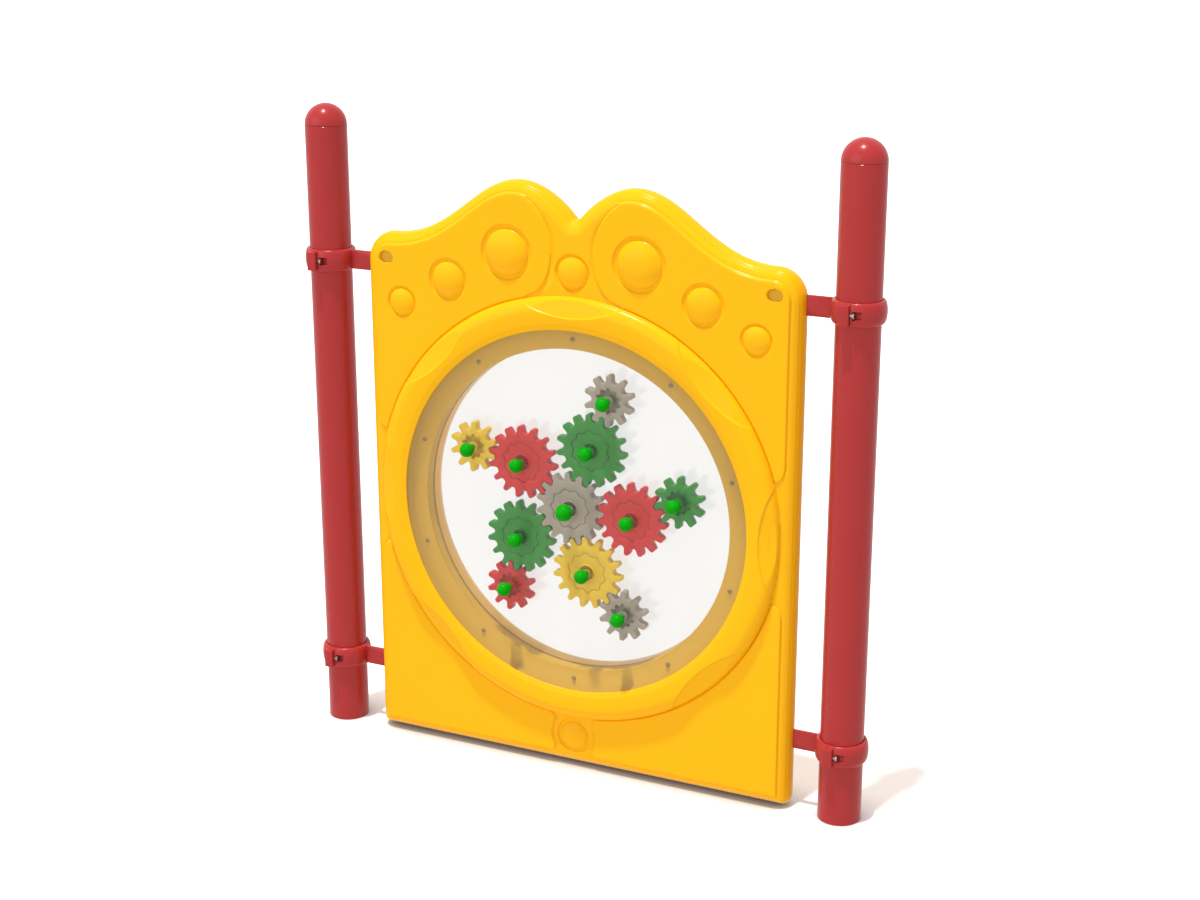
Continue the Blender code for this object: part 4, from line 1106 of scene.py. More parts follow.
@dataclass
class FacePoints:
    """Gathers the points that the panel's face is built on, the sharpest features first."""

    form: PanelForm
    rim: float = 0.016
    kept: list[Array] = field(default_factory=list)

    def add(self, points: Array, gap: float = 0.0009) -> None:
        """Keeps the points that stand clear of those already kept.

        Args:
            points: Flat points.
            gap: The least distance to a point kept earlier.
        """
        if self.kept:
            _, distance = nearest(search_tree(np.vstack(self.kept)), points)
            points = points[distance > gap]
        if len(points):
            self.kept.append(points)

    def within(self, points: Array, lowest: float) -> Array:
        """Returns the points inside the rim and outside the opening."""
        points = points[self.form.radius(points) > lowest]
        points = points[np.abs(points[:, 0]) < self.form.half_width - self.rim]
        points = points[inside(points, self.form.columns)]
        return points[self.form.edge_distance(points) > self.rim + 0.0004]

    def ring(self, distance: float) -> Array:
        """Returns the outline's columns moved inwards, without those that fold over at the corners."""
        points = self.form.columns + inward(self.form.columns) * distance
        true = self.form.edge_distance(points)
        return points[np.abs(true - distance) < 0.00015]

    def bead(self) -> None:
        """Adds the rings of the bead, its groove and its lens-shaped flats."""
        form = self.form
        crest = form.bead_crest[0]
        lip = [0.3910, 0.3913, 0.3921, 0.394, 0.397, 0.4005]
        fold = [0.4022, 0.4029, 0.4036, 0.4055, 0.409, 0.4135, 0.4175, 0.4215, 0.426]
        outer = [crest + (form.bead_outer - crest) * math.sin(math.radians(a)) for a in range(0, 90, 7)]
        groove = [form.bead_outer + d for d in (0.0, 0.0006, 0.0012, 0.0017, 0.0022, 0.0027, 0.0032, 0.0045)]
        rings = [circle(radius, 540, form.opening) for radius in lip + fold + outer + groove]
        bow_centre = form.lens_start + form.lens_arc
        creases = []
        for angle in form.lens_angles:
            for shift in (-0.0014, -0.0006, 0.0003, 0.0012, 0.0021, 0.0030, 0.0040):
                bow = arc((bow_centre, 0), form.lens_arc - shift, 152, 208, 110)
                turn = np.array([[math.cos(math.radians(angle)), math.sin(math.radians(angle))]])
                side = np.array([[-turn[0, 1], turn[0, 0]]])
                flat = bow[:, :1] * turn + bow[:, 1:] * side + np.array([form.opening])
                creases.append(flat[form.radius(flat) < form.bead_outer + 0.001])
        self.add(self.within(np.vstack(creases), form.lip_radius + 0.0003))
        self.add(self.within(np.vstack(rings), form.lip_radius + 0.0002))

    def edges(self) -> None:
        """Adds the rings along the outline, close together where the pads begin."""
        near = (0.0178, 0.0196, 0.0212, 0.0222, 0.0228, 0.0234)
        far = (0.0240, 0.0246, 0.0256, 0.0275, 0.031, 0.0345)
        for step in near + far:
            self.add(self.within(self.ring(step), self.form.bead_outer - 0.004))

    def pads(self) -> None:
        """Adds the rounded corners of the pads and then lines along their other edges."""
        form = self.form
        lines = [self._pad_corners()]
        tip = np.array([form.tip_x, form.on_groove(form.tip_x)])
        aslant = np.array([-0.7071, 0.7071])
        run = np.linspace(-0.003, 0.032, 15)[:, None] / math.sqrt(2)
        along = np.gradient(form.waist, axis=0)
        along /= np.linalg.norm(along, axis=1)[:, None]
        for shift in (-0.0038, -0.0026, -0.0015, -0.0007, 0.0, 0.0007, 0.0015, 0.0026):
            waist = (form.waist + np.stack([along[:, 1], -along[:, 0]], 1) * shift)[::3]
            high = tip + run * np.array([1, 1]) + shift * aslant
            low = high * np.array([1, -1]) + np.array([0, 2 * form.opening[1]])
            boss = arc((0.0, form.domes[-1].z), form.boss_radius + shift, -24, 24, 40)
            lines += [waist, high, low, boss]
        right = np.vstack(lines)
        self.add(self.within(np.vstack([right, right * np.array([-1, 1])]), form.bead_outer + 0.0002))

    def _pad_corners(self) -> Array:
        """Returns a close net over the right pads' rounded corners, where no line follows the edge."""
        form = self.form
        x, z = np.meshgrid(np.arange(0.03, 0.475, 0.0011), np.arange(0.01, 1.26, 0.0011))
        net = np.stack([x.ravel(), z.ravel()], 1)
        net = net[(form.radius(net) > form.bead_outer) & (form.radius(net) < form.bead_outer + 0.16)]
        distance = form.edge_distance(net)
        near = (distance > form.rim_clear) & (np.abs(form.radius(net) - form.groove_radius) < 0.02)
        near |= (distance > form.rim_clear) & (np.abs(net[:, 0] - form.neck_half) < 0.012)
        net, distance = net[near], distance[near]
        soft = form.pad_offset(net, distance, form.pad_corner)
        rounded = form.pad_offset(net, distance, 1e-6) - soft > 0.0002
        corners = net[rounded & (np.abs(soft) < 0.0030)]
        return corners[corners[:, 0] > form.neck_half - 0.01]

    def details(self) -> None:
        """Adds the domes with their seats, and the pockets."""
        form = self.form
        seat_steps = (-0.0054, -0.0044, -0.0034, -0.0024, -0.0014, -0.0004, 0.0006, 0.0016, 0.0028)
        for dome in form.domes:
            cap = [dome.radius * math.sin(math.radians(a)) for a in range(8, 84, 8)]
            base = [dome.radius + d for d in (-0.0003, 0.0003)]
            seat = [dome.seat + d for d in seat_steps]
            rings = [circle(r, 28 if r < 0.4 * dome.radius else 84, (dome.x, dome.z)) for r in cap + base]
            rings += [circle(r, 96, (dome.x, dome.z)) for r in seat if r > dome.radius + 0.001]
            self.add(np.vstack(rings + [np.array([[dome.x, dome.z]])]), 0.0004)
        for side in (-1, 1):
            half, reach = form.pocket_size[1] / 2, form.pocket_size[0] / 2 - form.pocket_size[1] / 2
            for off in (-0.0030, -0.0013, -0.0008, -0.0003, 0.0002, 0.0012):
                right = arc((side * form.pocket[0] + reach, form.pocket[1]), half + off, -90, 90, 24)
                left = arc((side * form.pocket[0] - reach, form.pocket[1]), half + off, 90, 270, 24)
                self.add(np.vstack([right, left]), 0.0003)

    def fill(self) -> None:
        """Adds a loose net over what is left."""
        step = 0.011
        rows = []
        for j, z in enumerate(np.arange(0.0, 1.28, step * 0.866)):
            x = np.arange(-0.49, 0.49, step) + (j % 2) * step / 2
            rows.append(np.stack([x, np.full(len(x), z)], 1))
        self.add(self.within(np.vstack(rows), self.form.lip_radius + 0.002), 0.0050)


@dataclass
class Mouldings:
    """The panel's two mouldings."""

    form: PanelForm
    seam_level: float = 0.0195
    seam_gap: float = 0.0003
    seam_inner: float = 0.0154
    rim: float = 0.016
    core_radius: float = 0.025
    hole_radius: float = HOLE_RADIUS
    hole_round: float = 0.0020
    flange_level: float = 0.030
    flange_radius: float = 0.387
    ledge_level: float = 0.041
    window_bore: float = 0.3935
    lip_under: float = 0.0463
    hollow: tuple[tuple[float, float], ...] = (
        (0.445, 0.025),
        (0.437, 0.0445),
        (0.403, 0.0445),
        (0.395, 0.025),
    )
    rear_bore: float = 0.3550
    rear_ledge: float = -0.001
    rear_seat_top: float = 0.0046
    rear_wall_top: float = 0.0244
    rear_wall: float = 0.0085
    pocket_reach: float = 0.016
    pocket_floor: tuple[float, float] = (0.0260, 0.0300)
    round_segments: int = 720

    def _ring(self, distance: float, level: float) -> Array:
        """Returns the outline's columns moved inwards, at a level."""
        return raised(self.form.columns + inward(self.form.columns) * distance, level)

    def _circle(self, radius: float) -> Array:
        """Returns a flat loop round the opening."""
        return circle(radius, self.round_segments, self.form.opening)

    def _round(self, radius: float, level: float) -> Array:
        """Returns a ring round the opening, at a level."""
        return raised(self._circle(radius), level)

    def _seam_edge(self, seam: float) -> tuple[float, float]:
        """Returns the edge's angle at the seam's level and how far from the outline it lies there."""
        angle = math.degrees(math.asin(seam / self.form.edge_radius))
        return angle, self.form.edge_radius * (1 - math.cos(math.radians(angle)))

    def _edge_rings(self, first: float, last: float, steps: int) -> list[Array]:
        """Returns rings round the panel's full-round edge.

        Args:
            first: The first angle above the middle level, in degrees.
            last: The last angle.
            steps: How many stretches lie between them.

        Returns:
            The rings.
        """
        r = self.form.edge_radius
        angles = np.radians(np.linspace(first, last, steps + 1))
        return [self._ring(r * (1 - math.cos(a)), r * math.sin(a)) for a in angles]

    def _rim_angle(self) -> float:
        """Returns the edge's angle at which the free face begins."""
        return math.degrees(math.acos(1 - self.rim / self.form.edge_radius))

    def front(self) -> bpy.types.Object:
        """Builds the front moulding with its face, its flange and its hollow back.

        Returns:
            The piece.
        """
        form, draft = self.form, Draft()
        seam = self.seam_level + self.seam_gap / 2
        start, first = self._seam_edge(seam)
        rings = self._edge_rings(start, self._rim_angle(), 7)
        eased_start = self._ring(first + 0.0007, seam)
        rings[0] = self._ring(first + 0.0001, seam + 0.0006)
        draft.strip([eased_start] + rings)
        rim_loop = rings[-1][:, :2]
        lip_loop = self._circle(form.lip_radius)
        face = FacePoints(form, self.rim)
        face.kept.append(np.vstack([rim_loop, lip_loop]))
        face.bead()
        face.details()
        face.edges()
        face.pads()
        face.fill()
        at, rows = triangulated(np.vstack(face.kept[1:]), [rim_loop], [lip_loop])
        draft.add(np.column_stack([at, form.height(at)]), rows, form.normals(at))
        lip_top = float(form.height(lip_loop[:1])[0])
        lip = [
            (form.lip_radius, lip_top),
            (form.lip_radius, self.lip_under),
            (self.window_bore, self.lip_under),
            (self.window_bore, self.ledge_level),
            (self.flange_radius, self.ledge_level),
        ]
        draft.strip([self._round(r, w) for r, w in lip])
        flange = [
            (self.flange_radius, self.ledge_level),
            (self.flange_radius, self.flange_level),
            (self.hole_radius + 0.0008, self.flange_level),
            (self.hole_radius + 0.0002, self.flange_level - 0.0002),
            (self.hole_radius, self.flange_level - 0.0008),
            (self.hole_radius, self.core_radius),
            (self.hollow[3][0], self.core_radius),
        ]
        draft.strip([self._round(r, w) for r, w in flange])
        draft.strip([self._round(r, w) for r, w in reversed(self.hollow)])
        back = self._ring(self.rim, self.core_radius)
        draft.flat([back[:, :2]], [self._circle(self.hollow[0][0])], self.core_radius)
        draft.strip([eased_start, self._ring(self.seam_inner, seam), back])
        return draft.piece("front_moulding", on_panel(), 38)

    def rear(self) -> bpy.types.Object:
        """Builds the rear moulding, a hollow tray with the wall round the opening.

        Returns:
            The piece.
        """
        form, draft = self.form, Draft()
        seam = self.seam_level - self.seam_gap / 2
        start, first = self._seam_edge(seam)
        rings = self._edge_rings(start, -self._rim_angle(), 22)
        eased_start = self._ring(first + 0.0006, seam)
        rings[0] = self._ring(first - 0.0003, seam - 0.0007)
        draft.strip([eased_start] + rings)
        rim_loop = rings[-1][:, :2]
        hole_loop = self._circle(self.hole_radius)
        face = FacePoints(form, self.rim)
        face.kept.append(np.vstack([rim_loop, hole_loop]))
        for step in (0.018, 0.0203, 0.0229, 0.0255, 0.0282, 0.031, 0.0345):
            face.add(face.within(face.ring(step), self.hole_radius + 0.003))
        for angle in (12, 30, 50, 70, 90):
            radius = self.hole_radius + self.hole_round * (1 - math.cos(math.radians(angle)))
            face.add(self._circle(radius), 0.00005)
        face.fill()
        at, rows = triangulated(np.vstack(face.kept[1:]), [rim_loop], [hole_loop])
        off = np.clip(1 - (form.radius(at) - self.hole_radius) / self.hole_round, 0, 1)
        level = -form.round_level(form.edge_distance(at))
        level += self.hole_round * (1 - np.sqrt(1 - off * off))
        draft.add(np.column_stack([at, level]), rows)
        wall = self.hole_radius + self.rear_wall
        profile = [
            (self.hole_radius, -form.edge_radius + self.hole_round),
            (self.hole_radius, self.rear_ledge),
            (self.rear_bore, self.rear_ledge),
            (self.rear_bore, self.rear_seat_top),
            (self.hole_radius + 0.0002, self.rear_seat_top),
            (self.hole_radius + 0.0002, self.rear_wall_top),
            (wall, self.rear_wall_top),
            (wall, -self.core_radius),
        ]
        draft.strip([self._round(r, w) for r, w in profile])
        floor = self._ring(self.rim, -self.core_radius)
        draft.flat([floor[:, :2]], [self._circle(wall)], -self.core_radius)
        core = []
        for angle in (-53, -35, -15, 0, 15, 35):
            a = math.radians(angle)
            inset = form.edge_radius - self.core_radius * math.cos(a)
            core.append(self._ring(inset, self.core_radius * math.sin(a)))
        draft.strip([floor] + core + [self._ring(self.seam_inner, seam), eased_start])
        return draft.piece("rear_moulding", on_panel(), 38)

    def build(self, palette: Palette) -> None:
        """Builds and dresses both mouldings."""
        material = palette.of(Finish.PANEL)
        front, rear = self.front(), self.rear()
        settle(front, FIXED, Finish.PANEL, material, "panel_front")
        settle(rear, FIXED, Finish.PANEL, material, "panel_rear")
        # The faces behind the windows and the pockets' floors take the darker yellow of painted shade.
        self._paint_recess_shade(front, palette.recess, self.window_bore + 0.0001, (0.0, self.lip_under + 0.0001))
        self._paint_recess_shade(rear, palette.recess, self.rear_bore + 0.0001, (self.rear_ledge - 0.004, 0.03))

    def _paint_recess_shade(
        self, obj: bpy.types.Object, material: bpy.types.Material, reach: float, span: tuple
    ) -> None:
        """Gives the faces behind the front window and the pockets' floors the darker yellow of painted shade.

        Args:
            obj: The moulding.
            material: The darker yellow of painted shade.
            reach: The largest radius of such a face round the opening.
            span: The lowest and highest level of such a face.
        """
        obj.data.materials.append(material)
        x, z = self.form.opening
        low, high = self.pocket_floor
        for face in obj.data.polygons:
            level = PANEL_Y - face.center.y
            near = math.hypot(face.center.x - x, face.center.z - z) < reach and span[0] < level < span[1]
            off = math.hypot(abs(face.center.x) - self.form.pocket[0], face.center.z - self.form.pocket[1])
            if near or (off < self.pocket_reach and low < level < high):
                face.material_index = 1


@dataclass(frozen=True)
class Wheel:
    """One gear's place, tooth count, turn and finish."""

    name: str
    x: float
    z: float
    teeth: int
    phase: float
    finish: Finish

    @property
    def body(self) -> str:
        """The body that the gear and its knob ride on."""
        return f"wheel_{self.name}"


@dataclass
class GearTrain:
    """The eleven gears between the windows and the knobs in front of them."""

    centre: tuple[float, float] = (-0.004, 0.588)
    hole_radius: float = HOLE_RADIUS
    gear_share: float = 0.40172
    ring_teeth: int = 15
    small_teeth: int = 10
    pressure: float = 20.0
    play: float = 0.0002
    shoulder_share: float = 0.45
    crown_share: float = 0.62
    front_level: float = 0.0395
    thickness: float = 0.019
    hub_front: float = 0.0410
    hub_rear: float = 0.0046
    ring_hub: float = 0.018
    small_hub: float = 0.0105
    bore: float = 0.0062
    edge: float = 0.0011
    lobe_radius: float = 0.0255
    lobe_wave: float = 0.0030
    lobe_depth: float = 0.0150
    relief_radius: float = 0.0430
    relief_wave: float = 0.0027
    relief_depth: float = 0.0030
    disc_drop: float = 0.0006
    well_radius: float = 0.0168
    well_post: float = 0.0080
    well_depth: float = 0.0140
    shaft_radius: float = 0.006
    shaft_end: float = -0.004
    ball_level: float = 0.0655
    ball_radius: float = 0.015
    centre_ball_radius: float = 0.018
    ring_table: tuple = (
        ("upper_left", 142.1, Finish.RED),
        ("top", 70.1, Finish.GREEN),
        ("right", -1.9, Finish.RED),
        ("bottom", -73.9, Finish.YELLOW),
        ("lower_left", -145.9, Finish.GREEN),
    )
    small_table: tuple = (
        ("upper_left", 170.6, Finish.YELLOW),
        ("top", 70.0, Finish.GREY),
        ("right", 26.6, Finish.GREEN),
        ("bottom", -45.1, Finish.GREY),
        ("lower_left", -103.1, Finish.RED),
    )

    @property
    def module(self) -> float:
        """The gears' module."""
        return self.gear_share * self.hole_radius / self.ring_teeth

    def _meshed(self, parent: Wheel, name: str, direction: float, teeth: int, finish: Finish) -> Wheel:
        """Returns the gear that meshes with its parent in a direction, in degrees."""
        angle = math.radians(direction)
        distance = self.module * (parent.teeth + teeth) / 2
        pitch = 360 / teeth
        on_parent = (direction - parent.phase) / (360 / parent.teeth)
        phase = (direction + 180 - pitch * (0.5 - on_parent)) % pitch
        x = parent.x + distance * math.cos(angle)
        return Wheel(name, x, parent.z + distance * math.sin(angle), teeth, phase, finish)

    def wheels(self) -> list[Wheel]:
        """Returns all eleven gears, the centre one first."""
        middle = Wheel("centre", *self.centre, self.ring_teeth, -1.5, Finish.GREY)
        ring = [self._meshed(middle, f"ring_{n}", d, self.ring_teeth, f) for n, d, f in self.ring_table]
        small = [
            self._meshed(driver, f"small_{n}", d, self.small_teeth, f)
            for driver, (n, d, f) in zip(ring, self.small_table)
        ]
        return [middle] + ring + small

    def tooth_loop(self, teeth: int) -> Array:
        """Returns the toothed outline with rounded crowns and roots, its first tooth on the X axis.

        Args:
            teeth: The number of teeth.

        Returns:
            The closed outline.
        """
        pitch_radius = self.module * teeth / 2
        addendum, dedendum = self.module * 6 / 7, self.module * 27 / 28
        pressure = math.radians(self.pressure)
        base = pitch_radius * math.cos(pressure)
        at_pitch = math.pi / (2 * teeth) - self.play / (2 * pitch_radius)

        def half_angle(radius: float) -> float:
            """Returns half the tooth's angle at a radius."""
            here = math.acos(base / radius) if radius > base else 0.0
            return at_pitch + (math.tan(pressure) - pressure) - (math.tan(here) - here)

        shoulder = pitch_radius + self.shoulder_share * addendum
        sides = [(r, half_angle(r)) for r in (pitch_radius - dedendum, shoulder)]
        sides.append((pitch_radius + addendum, self.crown_share * sides[-1][1]))
        rows = [(r, -h) for r, h in sides] + [(r, h) for r, h in reversed(sides)]
        loop = np.array(
            [
                (r * math.cos(2 * math.pi * k / teeth + h), r * math.sin(2 * math.pi * k / teeth + h))
                for k in range(teeth)
                for r, h in rows
            ]
        )
        keep, cut = 0.78, 0.22
        for _ in range(3):
            ahead = np.roll(loop, -1, 0)
            loop = np.stack([keep * loop + cut * ahead, cut * loop + keep * ahead], 1).reshape(-1, 2)
        return loop

    @staticmethod
    def waved(radius: float, wave: float, count: int = 160) -> Array:
        """Returns a closed curve with ten soft lobes."""
        a = np.linspace(0, 2 * math.pi, count + 1)[:-1]
        r = radius + wave * np.cos(10 * a)
        return np.stack([r * np.cos(a), r * np.sin(a)], 1)

    def gear(self, wheel: Wheel) -> bpy.types.Object:
        """Builds one gear with eased edges, its hub and the relief round it.

        Args:
            wheel: The gear's place and kind.

        Returns:
            The piece.
        """
        draft = Draft()
        loop = self.tooth_loop(wheel.teeth)
        normal = inward(loop)
        rear = self.front_level - self.thickness
        e = self.edge

        def at(inset: float, level: float) -> Array:
            """Returns the toothed outline moved inwards, at a level."""
            return raised(loop + normal * inset, level)

        front_edge = [at(e, self.front_level), at(0.55 * e, self.front_level - 0.12 * e)]
        front_edge += [at(0.15 * e, self.front_level - 0.5 * e), at(0, self.front_level - e)]
        back_edge = [at(0, rear + e), at(0.15 * e, rear + 0.5 * e)]
        back_edge += [at(0.55 * e, rear + 0.12 * e), at(e, rear)]
        draft.strip(front_edge + back_edge)
        walls = self._relief_rings(wheel.teeth == self.small_teeth, rear)
        draft.strip(walls)
        face_loop = loop + normal * e
        draft.flat([face_loop], [walls[0][:, :2]], self.front_level)
        draft.flat([face_loop], [walls[-1][:, :2]], rear)
        return draft.piece(f"dressed_gear_{wheel.name}", self._place(wheel), 32)

    def _relief_rings(self, small: bool, rear: float) -> list[Array]:
        """Returns the rings from a gear's front face through its recess, hub and bore to its rear face.

        Args:
            small: Whether it is a small gear, with a deep recess and no well.
            rear: The rear face's level.

        Returns:
            The rings, in order.
        """
        hub = self.small_hub if small else self.ring_hub
        if small:
            radius, wave, depth = self.lobe_radius, self.lobe_wave, self.lobe_depth
        else:
            radius, wave, depth = self.relief_radius, self.relief_wave, self.relief_depth
        floor = self.front_level - depth
        ease = min(0.0010, 0.4 * depth)
        walls = [
            raised(self.waved(radius, wave), self.front_level),
            raised(self.waved(radius - 0.7 * ease, wave), self.front_level - 0.3 * ease),
            raised(self.waved(radius - ease, wave), self.front_level - ease),
            raised(self.waved(radius - 1.6 * ease, wave * 0.95), floor),
        ]
        if not small:
            floor = self.front_level - self.disc_drop
            walls += [
                raised(self.waved(radius - 0.0028, wave), self.front_level - depth),
                raised(self.waved(radius - 0.0036, wave), floor - 0.0006),
                raised(self.waved(radius - 0.0044, wave), floor),
            ]
        walls += [
            raised(self.waved(hub + 0.0008, 0.0), floor),
            raised(self.waved(hub, 0.0), floor + 0.0008),
            raised(self.waved(hub, 0.0), self.hub_front - 0.0006),
            raised(self.waved(hub - 0.0006, 0.0), self.hub_front),
        ]
        if not small:
            well_floor = self.hub_front - self.well_depth
            walls += [
                raised(self.waved(self.well_radius, 0.0), self.hub_front),
                raised(self.waved(self.well_radius - 0.0005, 0.0), self.hub_front - 0.0005),
                raised(self.waved(self.well_radius - 0.0007, 0.0), well_floor),
                raised(self.waved(self.well_post, 0.0), well_floor),
                raised(self.waved(self.well_post, 0.0), self.hub_front),
            ]
        walls += [
            raised(self.waved(self.bore, 0.0), self.hub_front),
            raised(self.waved(self.bore, 0.0), self.hub_rear),
            raised(self.waved(hub - 0.0006, 0.0), self.hub_rear),
            raised(self.waved(hub, 0.0), self.hub_rear + 0.0006),
            raised(self.waved(hub, 0.0), rear),
        ]
        return walls

    def knob(self, wheel: Wheel) -> bpy.types.Object:
        """Builds the ball knob on its shaft.

        Args:
            wheel: The gear that it turns.

        Returns:
            The piece.
        """
        radius = self.centre_ball_radius if wheel.name == "centre" else self.ball_radius
        draft = Draft()
        neck = math.degrees(math.asin((self.shaft_radius + 0.0010) / radius))
        ball = arc((0, self.ball_level), radius, 90, -90 + neck, 26)
        profile = [(0.0, self.ball_level + radius)] + [(float(r), float(w)) for r, w in ball[1:]]
        low = profile[-1][1]
        profile += [(self.shaft_radius + 0.0002, low - 0.0012), (self.shaft_radius, low - 0.0026)]
        profile += [
            (self.shaft_radius, self.shaft_end + 0.0010),
            (self.shaft_radius - 0.0010, self.shaft_end),
            (0.0, self.shaft_end),
        ]
        draft.turned(profile, 56)
        return draft.piece(f"dressed_knob_{wheel.name}", self._place(wheel), 40)

    @staticmethod
    def _place(wheel: Wheel) -> Matrix:
        """Returns the move from a wheel's own axes to the model's."""
        turn = Matrix.Rotation(math.radians(wheel.phase), 4, "Z")
        return on_panel() @ Matrix.Translation((wheel.x, wheel.z, 0)) @ turn

    def build(self, palette: Palette) -> None:
        """Builds and dresses every gear and knob."""
        for wheel in self.wheels():
            settle(self.gear(wheel), wheel.body, wheel.finish, palette.of(wheel.finish), f"gear_{wheel.name}")
            settle(self.knob(wheel), wheel.body, Finish.KNOB, palette.of(Finish.KNOB), f"knob_{wheel.name}")


@dataclass
class Windows:
    """The two clear round sheets with the gears between them."""

    centre: tuple[float, float] = OPENING
    front_radius: float = 0.3932
    front_levels: tuple[float, float] = (0.0413, 0.0460)
    rear_radius: float = 0.3547
    rear_levels: tuple[float, float] = (-0.0007, 0.0043)
    hole_radius: float = 0.0066
    edge: float = 0.0004

    def sheet(
        self, name: str, radius: float, levels: tuple[float, float], wheels: Sequence[Wheel]
    ) -> bpy.types.Object:
        """Builds one sheet with a hole for each shaft.

        Args:
            name: The piece's name.
            radius: The sheet's radius.
            levels: The levels of its rear and front faces.
            wheels: The gears whose shafts pass it.

        Returns:
            The piece.
        """
        draft = Draft()
        low, high = levels
        loops = [(circle(radius, 360, self.centre), 1)]
        loops += [(circle(self.hole_radius, 40, (w.x, w.z)), -1) for w in wheels]
        faces = []
        for loop, side in loops:
            normal = inward(loop) * side
            eased_loop = loop + normal * self.edge
            faces.append(eased_loop)
            draft.strip(
                [
                    raised(eased_loop, high),
                    raised(loop, high - self.edge),
                    raised(loop, low + self.edge),
                    raised(eased_loop, low),
                ]
            )
        for level in levels:
            draft.flat([faces[0]], faces[1:], level)
        return draft.piece(name, on_panel(), 30)

    def build(self, palette: Palette, wheels: Sequence[Wheel]) -> None:
        """Builds and dresses both sheets."""
        front = self.sheet("front_clear_window", self.front_radius, self.front_levels, wheels)
        settle(front, FIXED, Finish.CLEAR, palette.front_sheet, "front_window")
        rear = self.sheet("rear_clear_window", self.rear_radius, self.rear_levels, wheels)
        settle(rear, FIXED, Finish.CLEAR, palette.rear_sheet, "rear_window")


@dataclass(frozen=True)
class ScrewSize:
    """The measures of a screw with a hexagon socket in its head."""

    head: float
    height: float
    shank: float
    length: float
    domed: bool


@dataclass
class Fasteners:
    """The flange screws, the clamps' bolts and the bolts that hold the straps."""

    screw_count: int = 10
    screw_circle: float = 0.3692
    screw_level: float = 0.0303
    screw: ScrewSize = ScrewSize(head=0.0046, height=0.0026, shank=0.0023, length=0.0250, domed=True)
    centre: tuple[float, float] = OPENING
    bolt: ScrewSize = ScrewSize(head=0.0058, height=0.0045, shank=0.0030, length=0.0180, domed=False)
    bolt_start: float = 0.0043
    socket_share: float = 0.42
    segments: int = 48

    @staticmethod
    def _hexagon(across: float, count: int, start: float = 0.0) -> Array:
        """Returns a hexagon's outline with as many points as the rings beside it."""
        a = np.linspace(0, 2 * math.pi, count + 1)[:-1]
        r = across / np.cos((a + start) % (math.pi / 3) - math.pi / 6)
        return np.stack([r * np.cos(a), r * np.sin(a)], 1)

    def socket_screw(self, name: str, size: ScrewSize, move: Matrix) -> bpy.types.Object:
        """Builds a screw whose head stands on the draft's zero level.

        Args:
            name: The piece's name.
            size: Its measures.
            move: Its place.

        Returns:
            The piece.
        """
        draft, n = Draft(), self.segments
        head, height, shank, foot = size.head, size.height, size.shank, -size.length
        socket = self.socket_share * head
        if size.domed:
            under = head
            crown = [
                (head * math.cos(a), height * (0.18 + 0.82 * math.sin(a)))
                for a in np.radians([0, 18, 36, 52])
            ]
            top = [(under, 0.0)] + crown + [(socket * 1.32, height)]
        else:
            under = head - 0.0002
            top = [(under, 0.0), (head, 0.0003), (head, height - 0.0008), (head - 0.0008, height)]
            top += [(socket * 1.4, height)]
        rings = [raised(circle(r, n), w) for r, w in top]
        rings += [raised(self._hexagon(socket, n), height - 0.00015)]
        rings += [raised(self._hexagon(socket * 0.97, n), height * 0.35)]
        draft.strip(rings)
        draft.fan(rings[-1], (0, 0, height * 0.25))
        draft.turned([(under, 0.0), (shank, 0.0), (shank, foot + 0.0008)], n)
        draft.turned([(shank, foot + 0.0008), (shank - 0.0008, foot), (0.0, foot)], n)
        return draft.piece(name, move, 35)

    def build(self, palette: Palette) -> None:
        """Builds the flange screws and the clamp bolts, and dresses every fastener."""
        screw, steel = palette.of(Finish.SCREW), palette.of(Finish.STEEL)
        for i in range(self.screw_count):
            a = math.radians(90 + 360 / self.screw_count * i)
            x = self.centre[0] + self.screw_circle * math.cos(a)
            z = self.centre[1] + self.screw_circle * math.sin(a)
            turn = Matrix.Rotation(0.7 * i, 4, "Z")
            move = on_panel() @ Matrix.Translation((x, z, self.screw_level)) @ turn
            name = f"flange_screw_{i + 1:02d}"
            one = self.socket_screw(f"dressed_{name}", self.screw, move)
            settle(one, FIXED, Finish.SCREW, screw, name)
        for side, side_name in SIDES:
            for row, height in CLAMP_HEIGHTS.items():
                for face, way in (("front", -1), ("rear", 1)):
                    at = (side * POST_X + self.bolt_start, PANEL_Y + way * BOLT_OFFSET, height)
                    move = Matrix.Translation(at) @ Matrix.Rotation(math.radians(90), 4, "Y")
                    name = f"clamp_bolt_{face}_{row}_{side_name}"
                    one = self.socket_screw(f"dressed_{name}", self.bolt, move)
                    settle(one, FIXED, Finish.STEEL, steel, name)
                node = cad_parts[f"strap_bolt_{row}_{side_name}"]
                node.data.materials.clear()
                node.data.materials.append(steel)
                log.info("%s: dressed as it is", node.name)


